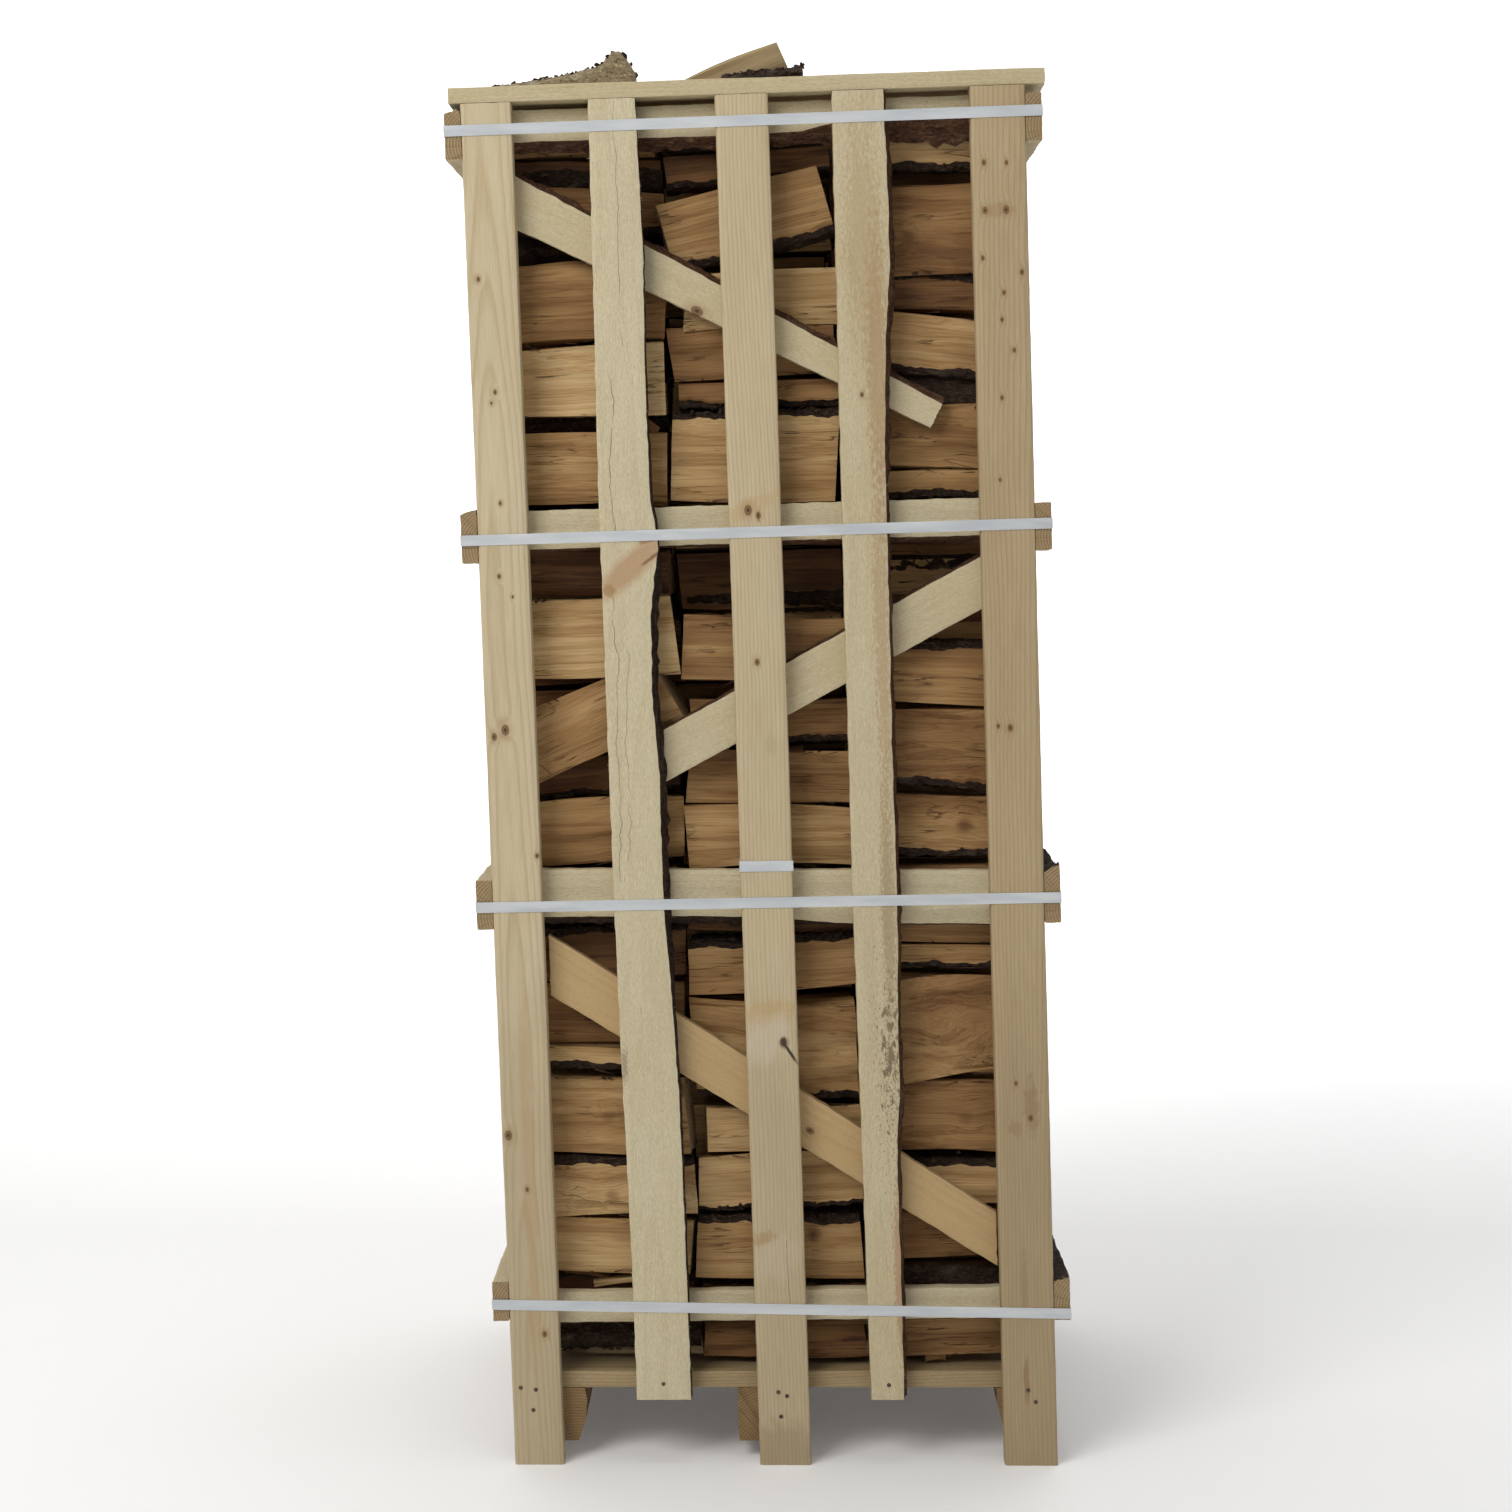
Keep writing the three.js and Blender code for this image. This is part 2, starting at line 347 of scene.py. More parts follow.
def knot_distance(shader, place, knots):
    """Distance to the nearest knot, in knot radii. knots are [along, across, radius]."""
    flat = shader.scaled(place, (KNOT_STRETCH, 1, 0))
    nearest = FAR_AWAY
    for along, across, radius in knots:
        gap = shader.distance(flat, (KNOT_STRETCH * along, across, 0))
        nearest = shader.math("MINIMUM", gap / radius, nearest)
    return nearest


def stained(shader, place, colour, stains):
    """Ragged patches: [along, across, half length, half width, lean, colour, strength, grain, ragged].

    A tenth number, if there is one, breaks a patch up into scattered specks.
    """
    along, across, _ = shader.parts(place)
    for middle, level, half_long, half_wide, lean, paint, strength, fine, ragged, *gap in stains:
        v = across - level
        u = (along - middle - v * lean) / half_long
        v = v / half_wide
        grit = shader.noise(place, (fine, fine * 2, fine), detail=5.0, rough=0.65) - 0.5
        edge = shader.math("SQRT", u * u + v * v) + grit * ragged + sum(gap)
        colour = shader.mix(shader.band(edge, 0.55, 1.05, strength, 0.0), colour, paint)
    return colour


def cracks_mask(shader, place, cracks):
    """Thin wavering cracks along the grain: [from, to, across, drift, width]."""
    along, across, _ = shader.parts(place)
    wander = shader.noise(place, (7, 0, 0), detail=7.0, rough=0.62) - 0.5
    open_parts = shader.band(shader.noise(place, (14, 0, 0), (5, 0, 0)), 0.4, 0.56, 0.15, 1.0)
    mask = 0.0
    for first, last, level, drift, width in cracks:
        gap = abs(across - (wander * drift + level))
        inside = shader.math("GREATER_THAN", along, first) * shader.math("LESS_THAN", along, last)
        mask = shader.math("MAXIMUM", shader.band(gap, width * 0.4, width, 1.0, 0.0) * inside, mask)
    return mask * open_parts


def pine(name, light, dark, late, spacing, rings=0.4, wander=6.0, fibre_share=0.15, linen=0.0,
         specks=0.2, depth=0.0005, knots=(), stains=(), cracks=()):
    """Sawn or planed softwood. tone turns a board from its light to its dark colour."""
    shader = Shader(name)
    grain, place = shader.attribute("grain"), shader.attribute("place")
    tone = shader.attribute("tone", 2)
    near = knot_distance(shader, place, knots)
    bend = shader.math("POWER", shader.band(near, 0.0, 4.5, 1.0, 0.0), 2.0) * 1.1
    ring = growth_rings(shader, grain, spacing, wander, bend)
    late_wood = shader.ramp(ring, [(0.0, 0.0), (0.5, 0.1), (0.84, 1.0), (1.0, 0.0)])
    blotch = shader.band(shader.noise(grain, (4, 16, 16), detail=4.0), 0.3, 0.7, -0.1, 0.1)
    base = shader.mix(shader.math("ADD", tone, blotch, clamp=True), light, dark)
    ringed = shader.mix(late_wood * rings, base, late, "MULTIPLY")
    fibre = shader.noise(grain, (18, 700, 700), detail=4.0, rough=0.6)
    lined = shader.veiled(fibre_share, ringed, fibre, [(0.32, (0.4, 0.34, 0.26)), (0.6, WHITE)])
    weave = shader.noise(grain, (150, 800, 800), rough=0.6)
    woven = shader.veiled(linen, lined, weave, [(0.3, (0.55, 0.5, 0.42)), (0.65, WHITE)])
    dust = shader.band(shader.noise(grain, (110, 200, 200)), 0.66, 0.78, 0.0, specks)
    spotted = stained(shader, place, shader.mix(dust, woven, (0.2, 0.13, 0.07)), stains)
    halo = shader.mix(shader.band(near, 1.0, 2.6, 0.4, 0.0), spotted, (0.33, 0.2, 0.09))
    knot_wood = shader.mix(shader.math("FRACT", near * 3.0), (0.13, 0.07, 0.03), (0.24, 0.14, 0.065))
    knotted = shader.mix(shader.band(near, 0.85, 1.05, 0.92, 0.0), halo, knot_wood)
    cored = shader.mix(shader.band(near, 0.2, 0.45, 0.8, 0.0), knotted, (0.035, 0.02, 0.01))
    split = cracks_mask(shader, place, cracks) if cracks else 0.0
    # Painted shade darkens the cracks.
    colour = shader.mix(split * 0.62, cored, (0.09, 0.06, 0.035))
    saw = shader.noise(grain, (640, 45, 45))
    height = fibre * 0.5 + late_wood * 0.12 + (saw + weave) * (linen * 1.6) - split * 2.0
    return shader.finish(colour, height, depth)


def split_birch(name="split_birch", weathered=0.0):
    """Torn birch faces: bands of pale sapwood and reddish heartwood along the log, with checks darkened
    by painted shade.
    """
    shader = Shader(name)
    straight, place, knot = (shader.attribute(label) for label in ("grain", "place", "knot"))
    tone, curl = shader.attribute("tone", 2), shader.attribute("curl", 2)
    swirl = shader.noise(straight, (8, 13, 13), detail=1.5, rough=0.5, output=1)
    centred = shader.node("ShaderNodeVectorMath", {0: swirl, 1: (0.5, 0.5, 0.5)}, operation="SUBTRACT")
    knot_gap = shader.distance(place, knot)
    pull = curl * 0.085 + shader.band(knot_gap, 0.0, 0.045, 0.05, 0.004)
    pulled = shader.node("ShaderNodeVectorMath", {0: centred, 3: pull}, operation="SCALE")
    grain = shader.node("ShaderNodeVectorMath", {0: straight, 1: pulled}, operation="ADD")
    fibre = shader.noise(grain, (9, 480, 480), detail=5.0, rough=0.65)
    bands = shader.noise(grain, (1.8, 62, 62), detail=5.0, distortion=0.25)
    layered = shader.ramp(bands, [
        (0.3, 0.05), (0.42, 0.32), (0.47, 0.2), (0.52, 0.5), (0.55, 0.85), (0.58, 0.42), (0.72, 0.75),
    ])
    broad = shader.band(shader.noise(grain, (4, 16, 16), (3, 1, 2), detail=2.0), 0.3, 0.7, -0.10, 0.20)
    shade = shader.math("ADD", layered * 0.31 + tone * 0.95, broad, clamp=True)
    wood = shader.ramp(shade, [
        (0.0, (0.70, 0.53, 0.29)),
        (0.25, (0.56, 0.375, 0.175)),
        (0.5, (0.365, 0.212, 0.084)),
        (0.75, (0.215, 0.106, 0.037)),
        (1.0, (0.09, 0.037, 0.014)),
    ])
    lined = shader.veiled(0.34, wood, fibre, [(0.32, (0.36, 0.26, 0.18)), (0.55, WHITE)])
    late = [(0.0, WHITE), (0.7, (0.92, 0.9, 0.86)), (0.9, (0.62, 0.5, 0.4)), (1.0, WHITE)]
    ringed = shader.veiled(0.3, lined, growth_rings(shader, grain, 0.004, 3.0), late)
    check = abs(shader.noise(grain, (4.5, 80, 80), (0.3, 0.1, 0.7), distortion=0.5) - 0.5)
    gate = shader.band(shader.noise(grain, (9, 24, 24), (2, 5, 1)), 0.56, 0.62)
    cut = shader.band(check, 0.0, 0.016, 1.0, 0.0) * gate
    # Painted shade darkens the checks.
    split = shader.mix(cut * 0.8, ringed, (0.07, 0.032, 0.014))
    dark_knot = shader.mix(shader.band(knot_gap, 0.006, 0.017, 0.75, 0.0), split, (0.12, 0.05, 0.02))
    cored = shader.mix(shader.band(knot_gap, 0.002, 0.005, 0.8, 0.0), dark_knot, (0.02, 0.01, 0.006))
    colour = shader.mix(weathered, cored, (0.27, 0.22, 0.125))
    return shader.finish(colour, fibre * 0.5 + bands * 1.3 - cut * 0.8, 0.0022, 0.75)


def end_grain(name, light, dark, spacing):
    """Sawn ends: growth rings round the pith, darker heartwood and fine checks out from the pith."""
    shader = Shader(name)
    grain, tone = shader.attribute("grain"), shader.attribute("tone", 2)
    ring = growth_rings(shader, grain, spacing, 1.2)
    base = shader.mix(shader.band(tone, 0.0, 0.85), light, dark)
    late = [(0.0, WHITE), (0.5, (0.86, 0.82, 0.76)), (0.85, (0.42, 0.33, 0.24)), (1.0, WHITE)]
    ringed = shader.veiled(0.85, base, ring, late)
    grit = shader.noise(grain, (0.0, 900, 900))
    rough = shader.veiled(0.45, ringed, grit, [(0.3, (0.5, 0.45, 0.4)), (0.65, WHITE)])
    blotch = shader.noise(grain, (6, 26, 26))
    heart = shader.mix(shader.band(blotch, 0.42, 0.7, 0.0, 0.6), rough, dark)
    along, across, deep = shader.parts(grain)
    rays = shader.node("ShaderNodeCombineXYZ", {0: shader.math("ARCTAN2", across, deep) * 9.0, 1: along})
    check = abs(shader.noise(rays, (1, 1, 1)) - 0.5)
    # Painted shade darkens the checks.
    colour = shader.mix(shader.band(check, 0.0, 0.012, 0.6, 0.0), heart, (0.07, 0.04, 0.02))
    return shader.finish(colour, grit + ring * 0.4, 0.0012, 0.85)


def bark(name, deep, middle, light, patch_colour, patch_share, furrows=0.85):
    """Flaky bark: ridges along the log, dark furrows and lighter crusty patches."""
    shader = Shader(name)
    grain = shader.attribute("grain")
    furrow = abs(shader.noise(grain, (42, 150, 150), detail=7.0, rough=0.72, distortion=0.6) - 0.5)
    crust = shader.noise(grain, (130, 260, 260), detail=5.0, rough=0.7)
    patch = shader.noise(grain, (24, 40, 40), detail=5.0, rough=0.6)
    base = shader.ramp(crust, [(0.3, deep), (0.5, middle), (0.72, light)])
    patched = shader.mix(shader.band(patch, 0.56, 0.64, 0.0, patch_share), base, patch_colour)
    furrowed = shader.mix(shader.band(furrow, 0.0, 0.035, furrows, 0.0), patched, deep)
    return shader.finish(furrowed, shader.band(furrow, 0.0, 0.12) + crust * 0.8, 0.004, 0.9)


def plastic_strap():
    shader = Shader("strap_film")
    place = shader.node("ShaderNodeTexCoord", output=3)
    ribs = shader.noise(place, (900, 900, 900), detail=2.0)
    cloud = shader.noise(place, (9, 9, 60))
    colour = shader.ramp(cloud, [(0.3, (0.47, 0.5, 0.53)), (0.7, (0.62, 0.64, 0.65))])
    material = shader.finish(colour, ribs, 0.00015, 0.35)
    shader.surface.inputs["Specular IOR Level"].default_value = 0.5
    return material


def dull_steel():
    shader = Shader("nail_steel")
    rust = shader.noise(shader.node("ShaderNodeTexCoord", output=3), (400, 400, 400))
    colour = shader.ramp(rust, [(0.35, (0.05, 0.04, 0.035)), (0.65, (0.16, 0.12, 0.09))])
    shader.surface.inputs["Metallic"].default_value = 0.6
    return shader.finish(colour, rust, 0.0002, 0.55)


PLANED_COLOURS = ((0.60, 0.51, 0.34), (0.37, 0.262, 0.135), (0.76, 0.66, 0.52))
SAWN_COLOURS = ((0.68, 0.605, 0.42), (0.44, 0.325, 0.135), (0.84, 0.76, 0.62))
PALE_PATCH = (0.62, 0.55, 0.42)
MOULD = (0.15, 0.10, 0.055)
# Painted shade: patches in this colour darken the posts towards their feet.
LOW_SHADE = (0.27, 0.195, 0.11)
BLACK_KNOT = (0.02, 0.012, 0.008)


def planed_pine(name, **marks):
    return pine(name, *PLANED_COLOURS, spacing=0.0058, rings=0.55, specks=0.08, fibre_share=0.2, **marks)


def sawn_pine(name, **marks):
    return pine(
        name, *SAWN_COLOURS, spacing=0.0065, rings=0.22, linen=0.5, specks=0.3, depth=0.0009, **marks
    )


# Marks on the front boards, in metres along and across the upright crate. The wide dark patches low on
# each post are painted shade, darker towards the bottom.
POST_WOOD = {
    "left": planed_pine(
        "planed_pine_left",
        knots=[
            [1.805, -0.398, 0.003], [1.638, -0.380, 0.003], [1.622, -0.386, 0.002],
            [1.473, -0.379, 0.0025], [1.364, -0.385, 0.003], [1.333, -0.366, 0.002],
            [1.133, -0.385, 0.0062], [1.123, -0.402, 0.0045], [0.942, -0.345, 0.003],
            [0.514, -0.405, 0.006], [0.430, -0.380, 0.003], [0.205, -0.362, 0.004],
        ],
        stains=[
            [0.20, -0.375, 0.60, 0.12, 0.0, LOW_SHADE, 0.33, 8, 0.6],
            [0.45, -0.375, 0.35, 0.012, 0.0, (0.42, 0.27, 0.13), 0.4, 12, 1.6],
        ],
    ),
    "middle": planed_pine(
        "planed_pine_middle",
        knots=[[1.228, -0.005, 0.004], [1.454, -0.011, 0.006], [1.446, 0.004, 0.004]],
        cracks=[[1.437, 1.452, 0.004, 0.02, 0.0012], [0.24, 0.35, 0.012, 0.02, 0.0004]],
        stains=[
            [1.46, -0.004, 0.016, 0.05, 0.4, (0.48, 0.33, 0.16), 0.5, 40, 2.0],
            [0.700, -0.004, 0.022, 0.05, 0.1, (0.5, 0.34, 0.16), 0.6, 60, 2.5],
            [0.655, -0.010, 0.045, 0.045, 0.3, PALE_PATCH, 0.45, 25, 1.6],
            [0.652, 0.017, 0.012, 0.010, 0.0, (0.25, 0.15, 0.07), 0.5, 60, 1.0],
            [0.638, 0.0255, 0.0055, 0.013, -1.5, BLACK_KNOT, 0.95, 60, 0.5],
            [0.654, 0.016, 0.009, 0.0065, 0.0, BLACK_KNOT, 0.95, 90, 0.5],
            [0.320, -0.004, 0.04, 0.045, 0.2, PALE_PATCH, 0.3, 25, 2.0],
            [0.353, -0.022, 0.012, 0.02, 0.3, (0.38, 0.24, 0.11), 0.6, 60, 2.0],
            [1.104, 0.012, 0.020, 0.011, 0.0, (0.42, 0.34, 0.21), 0.6, 20, 0.3],
            [0.025, 0.0, 0.05, 0.08, 0.0, LOW_SHADE, 0.45, 40, 1.6],
            [0.22, 0.0, 0.55, 0.12, 0.0, LOW_SHADE, 0.22, 8, 0.6],
        ],
    ),
    "right": planed_pine(
        "planed_pine_right",
        knots=[
            [1.952, 0.352, 0.0035], [1.951, 0.385, 0.003], [1.883, 0.383, 0.005], [1.883, 0.352, 0.004],
            [1.792, 0.404, 0.0035], [1.814, 0.347, 0.003], [1.763, 0.377, 0.003], [1.724, 0.373, 0.003],
            [1.679, 0.390, 0.003], [1.610, 0.370, 0.003], [1.49, 0.364, 0.0025], [1.123, 0.370, 0.0045],
            [1.126, 0.352, 0.003], [0.588, 0.365, 0.003], [0.535, 0.386, 0.004],
        ],
        stains=[
            [0.555, 0.388, 0.05, 0.012, 0.0, (0.26, 0.16, 0.075), 0.6, 50, 2.6],
            [0.520, 0.362, 0.016, 0.014, 0.0, (0.28, 0.17, 0.08), 0.5, 50, 2.6],
            [0.13, 0.370, 0.045, 0.005, 0.0, (0.2, 0.1, 0.045), 0.6, 40, 1.5],
            [0.28, 0.37, 0.06, 0.006, 0.1, (0.28, 0.18, 0.08), 0.45, 40, 2.0],
            [1.883, 0.368, 0.012, 0.03, 0.0, (0.32, 0.2, 0.09), 0.45, 40, 2.0],
            [0.20, 0.375, 0.60, 0.12, 0.0, LOW_SHADE, 0.33, 8, 0.6],
        ],
    ),
}
PLANED = planed_pine("planed_pine", knots=[[1.7, 0.0, 0.004], [0.9, 0.36, 0.005], [1.2, -0.37, 0.004]])
LEFT_SLAT_WOOD = sawn_pine(
    "sawn_pine_left_slat",
    cracks=[
        [0.9, 1.33, -0.217, 0.05, 0.0005], [1.41, 1.66, -0.210, 0.045, 0.0006],
        [1.70, 2.06, -0.190, 0.03, 0.0003], [0.93, 1.25, -0.203, 0.06, 0.0003],
    ],
    stains=[
        [1.371, -0.190, 0.030, 0.062, 0.8, (0.46, 0.29, 0.16), 0.85, 22, 0.55],
        [1.338, -0.222, 0.012, 0.010, 0.0, (0.34, 0.21, 0.08), 0.7, 60, 1.6],
        [1.386, -0.158, 0.004, 0.016, 0.7, (0.2, 0.08, 0.035), 0.75, 60, 1.2],
        [1.412, -0.164, 0.005, 0.018, 0.2, (0.3, 0.15, 0.07), 0.7, 70, 1.6],
        [0.62, -0.225, 0.03, 0.006, 0.0, MOULD, 0.5, 160, 3.2],
    ],
)
RIGHT_SLAT_WOOD = sawn_pine(
    "sawn_pine_right_slat",
    knots=[[1.62, 0.163, 0.003]],
    stains=[
        [0.64, 0.178, 0.13, 0.024, 0.0, MOULD, 0.8, 55, 7.0, 0.6],
        [0.60, 0.172, 0.26, 0.030, 0.0, MOULD, 0.7, 170, 8.5, 1.1],
        [0.86, 0.180, 0.2, 0.012, 0.0, (0.3, 0.2, 0.1), 0.55, 160, 3.4],
        [1.66, 0.187, 0.24, 0.018, 0.0, (0.38, 0.24, 0.12), 0.65, 90, 3.0],
        [1.85, 0.172, 0.2, 0.034, 0.0, (0.4, 0.28, 0.14), 0.5, 110, 3.2],
        [1.25, 0.182, 0.3, 0.012, 0.0, (0.38, 0.24, 0.12), 0.5, 110, 4.0],
        [0.30, 0.180, 0.14, 0.008, 0.0, (0.36, 0.18, 0.09), 0.6, 120, 3.0],
    ],
)
SAWN = sawn_pine("sawn_pine")
UPPER_BRACE_WOOD = sawn_pine("sawn_pine_upper_brace", knots=[[-0.020, -0.0225, 0.0072]])
LOWER_BRACE_WOOD = pine(
    "sawn_pine_lower_brace", (0.62, 0.47, 0.27), (0.5, 0.345, 0.165), (0.8, 0.66, 0.5), 0.0065,
    rings=0.25, linen=0.25, knots=[[0.069, -0.007, 0.0052]],
)
# The runners take this wood's dark colour almost fully, as painted shade under the deck.
PALLET = pine(
    "pallet_wood", (0.47, 0.37, 0.21), (0.165, 0.085, 0.026), (0.6, 0.5, 0.38), 0.005,
    rings=0.5, linen=0.4, specks=0.6, depth=0.0009,
)
PINE_END = end_grain("pine_end", (0.58, 0.46, 0.28), (0.36, 0.24, 0.12), 0.0045)
BIRCH = split_birch()
AGED_BIRCH = split_birch("aged_birch", 0.7)
BIRCH_END = end_grain("birch_end", (0.74, 0.60, 0.37), (0.26, 0.14, 0.065), 0.0056)
BARK = bark(
    "bark", (0.014, 0.008, 0.005), (0.075, 0.041, 0.024), (0.18, 0.11, 0.066), (0.24, 0.18, 0.13), 0.5
)
RIM_BARK = bark(
    "rim_bark", (0.05, 0.02, 0.01), (0.21, 0.095, 0.045), (0.34, 0.19, 0.1), (0.42, 0.28, 0.17), 0.4
)
PALE_BARK = bark(
    "pale_bark", (0.13, 0.065, 0.03), (0.60, 0.47, 0.26), (0.88, 0.77, 0.5), (0.9, 0.8, 0.56), 0.85, 0.6
)
STRAP = plastic_strap()
STEEL = dull_steel()

WOOD_SLOT, END_SLOT, BARK_SLOT = 0, 1, 2

# ---- Boards ----

UNIT = {"x": np.array([1.0, 0, 0]), "y": np.array([0, 1.0, 0]), "z": np.array([0.0, 0, 1])}
# A board's faces across its width and through its thickness, and the waves a metre along its edges.
RING_FACES = (9, 4)
EDGE_WAVES = (9, 31, 57)


def board_ring(faces_across, faces_deep):
    """Shares of width and depth, and outward offsets, round a board with rounded arrises."""
    ring = []
    corner = math.sqrt(0.5)
    sides = [
        ((0, 0), (1, 0), (0, -1), faces_across),
        ((1, 0), (1, 1), (1, 0), faces_deep),
        ((1, 1), (0, 1), (0, 1), faces_across),
        ((0, 1), (0, 0), (-1, 0), faces_deep),
    ]
    for index, (start, end, out, steps) in enumerate(sides):
        for step in range(steps + 1):
            ring.append([*(np.array(start) + np.subtract(end, start) * (step / steps)), *out])
        following = sides[(index + 1) % 4][2]
        ring.append([*end, (out[0] + following[0]) * corner, (out[1] + following[1]) * corner])
    return np.array(ring)


class Board:
    """A sawn board: u runs along it, v across its width and w through its thickness."""

    def __init__(self, name, seed, axes, length, edges, depth, origin=(0, 0, 0)):
        self.name, self.rng = name, np.random.default_rng(seed)
        self.axes, self.origin = axes, np.array(origin, float)
        self.length, self.edges, self.depth = length, edges, depth
        self.arris, self.fuzz, self.warp = 0.0012, 0.0003, 0.0008
        self.pith, self.taper, self.tone = (0.02, 0.06), 0.012, 0.3
        self.wane, self.wane_bark = None, BARK
        self.wood, self.slot = SAWN, "sawn_pine"
        self.slant = (0.0, 0.0)
        self.step = 0.014

    def build(self):
        rng = self.rng
        first, last = self.length
        stations = max(8, int((last - first) / self.step))
        u = np.linspace(first, last, stations)
        low, high = (
            np.interp(u, *edge) if isinstance(edge, tuple) else np.full(stations, edge)
            for edge in self.edges
        )
        waves = [(self.fuzz, rate) for rate in EDGE_WAVES]
        low, high = (line + ripple(rng, u, waves) for line in (low, high))
        ring = board_ring(*RING_FACES)
        share_v, share_w, out_v, out_w = ring.T
        edge = self.arris
        width = (high - low - 2 * edge)[:, None]
        thick = self.depth[1] - self.depth[0] - 2 * edge
        v = low[:, None] + edge + share_v * width + out_v * edge
        w = self.depth[0] + edge + share_w * thick + out_w * edge + 0 * v
        texture = relief(rng, (share_v + share_w)[None], u[:, None], self.warp * 0.35, 2.5, 5)
        v = v + out_v * texture
        w = w + out_w * texture
        slots = np.full(len(ring), WOOD_SLOT)
        if self.wane is not None:
            v, slots = self.add_wane(u, v, ring, slots)
        middle = (first + last) / 2
        share = (u - first)[:, None] / (last - first)
        across = v - (low.mean() + high.mean()) / 2
        along = u[:, None] + across * (self.slant[0] * (1 - share) + self.slant[1] * share)
        chipped = relief(rng, share_v[None], share_w[None], 0.0005, 3, 3)
        along = along + np.where((share > 0.999) | (share < 0.001), chipped, 0)
        if self.slant == (0.0, 0.0):
            along = np.clip(along, first, last)
        axis_u, axis_v, axis_w = self.axes
        rings = self.origin + along[..., None] * axis_u + v[..., None] * axis_v + w[..., None] * axis_w
        depth = w - self.depth[0] - self.pith[1] - self.taper * (along - middle)
        grain = np.stack([along, v - low.mean() - self.pith[0], depth, along, v, w], -1)
        grain[..., 0] += rng.uniform(3, 60)
        pile = Pile()
        pile.add(*loft(rings, grain, slots, END_SLOT, 1), self.tone)
        piece = pile.build(self.name, [self.wood, PINE_END, self.wane_bark])
        return piece

    def add_wane(self, u, v, ring, slots):
        """Slopes one edge out to a strip of bark. wane gives its side and the bark's reach along it."""
        side, reach_line = self.wane
        share_v, share_w, out_v, _ = ring.T
        on_edge = (share_v == (1 if side > 0 else 0)) & (out_v != 0)
        reach = np.interp(u, *reach_line)[:, None]
        rough = relief(self.rng, share_w[None] * 0.1, u[:, None], 1.0, 20, 90, 9)
        slope = np.minimum(share_w * 1.4, 1)
        v = v + side * on_edge * reach * (0.15 + 0.85 * slope) * (1 + 0.35 * rough)
        return v, np.where(on_edge, BARK_SLOT, slots)


def place_board(name, node, axes_name, seed, **changes):
    """A board that fills a box-shaped node. axes_name is the order of length, width and depth."""
    low, high = upright_box(node)
    index = ["xyz".index(letter) for letter in axes_name]
    axes = [UNIT[letter] for letter in axes_name]
    spans = [(low[i], high[i]) for i in index]
    board = Board(name, seed, axes, spans[0], list(spans[1]), spans[2])
    for key, value in changes.items():
        setattr(board, key, value)
    piece = board.build()
    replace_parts(piece, node)
    return piece


def edge_line(points):
    """An edge as (heights, offsets), from [height, offset] pairs."""
    heights, offsets = zip(*points)
    return (list(heights), list(offsets))


LEFT_SLAT = (
    edge_line([
        [0.10, -0.225], [0.29, -0.225], [0.58, -0.229], [0.87, -0.232], [1.46, -0.2325], [2.07, -0.2265],
    ]),
    edge_line([
        [0.10, -0.142], [0.29, -0.1425], [0.45, -0.1435], [0.58, -0.1445], [0.72, -0.150],
        [0.857, -0.158], [0.975, -0.158], [1.06, -0.1575], [1.17, -0.164], [1.30, -0.162],
        [1.36, -0.155], [1.40, -0.146], [1.425, -0.149], [1.47, -0.156], [1.66, -0.157],
        [1.84, -0.1535], [2.07, -0.1575],
    ]),
)
LEFT_SLAT_BARK = edge_line([
    [0.1, 0.001], [0.7, 0.0025], [0.84, 0.008], [1.0, 0.009], [1.2, 0.008], [1.37, 0.010], [1.4, 0.001],
    [1.45, 0.0035], [1.52, 0.002], [2.07, 0.0],
])
RIGHT_SLAT = (
    edge_line([
        [0.10, 0.133], [0.29, 0.1313], [0.58, 0.1294], [0.87, 0.1272], [1.4, 0.128], [2.07, 0.132],
    ]),
    edge_line([
        [0.10, 0.1825], [0.29, 0.1825], [0.49, 0.182], [0.584, 0.189], [0.7, 0.1895],
        [0.82, 0.193], [1.12, 0.1925], [1.4, 0.194], [1.57, 0.1945], [1.70, 0.2], [1.81, 0.209],
        [1.9, 0.209], [2.07, 0.206],
    ]),
)
RIGHT_SLAT_BARK = edge_line([
    [0.1, 0.005], [0.5, 0.007], [0.57, 0.009], [0.6, 0.005], [1.0, 0.006], [1.5, 0.005], [1.6, 0.008],
    [1.75, 0.009], [1.95, 0.007], [2.07, 0.004],
])
# Each post's pith and tone. The tones darken from left to right partly by the wood's own warmer colour
# and partly as painted shade, for light that falls from the left.
POST_LOOKS = {
    "left": ((0.03, 0.035), 0.1),
    "middle": ((-0.09, 0.02), 0.24),
    "right": ((0.1, 0.03), 0.62),
}
LEVELS = ("bottom", "lower", "upper", "top")

# Bark left along the rails' lower edges.
RAIL_WANE = {
    "bottom": edge_line([[-0.42, 0.002], [0.42, 0.002]]),
    "lower": edge_line([[-0.42, 0.009], [-0.1, 0.012], [0.0, 0.010], [0.12, 0.002], [0.42, 0.002]]),
    "upper": edge_line([[-0.42, 0.002], [0.0, 0.002], [0.05, 0.005], [0.42, 0.004]]),
    "top": edge_line([
        [-0.42, 0.012], [0.0, 0.012], [0.08, 0.014], [0.13, 0.024], [0.2, 0.032], [0.42, 0.034],
    ]),
}
RAIL_BARK = {"bottom": RIM_BARK, "lower": BARK, "upper": RIM_BARK, "top": RIM_BARK}
# [place, tone, lower edge's shifts, upper edge's shifts, bark's reach, wood]. A pair of shifts is left,
# then right.
BRACES = [
    ["bottom", 0.8, (0.0, 0.0), (0.009, 0.0), 0.0, LOWER_BRACE_WOOD],
    ["middle", 0.25, (-0.002, 0.013), (-0.002, 0.012), 0.0035, SAWN],
    ["top", 0.25, (0.003, 0.012), (0.002, -0.02), 0.009, UPPER_BRACE_WOOD],
]


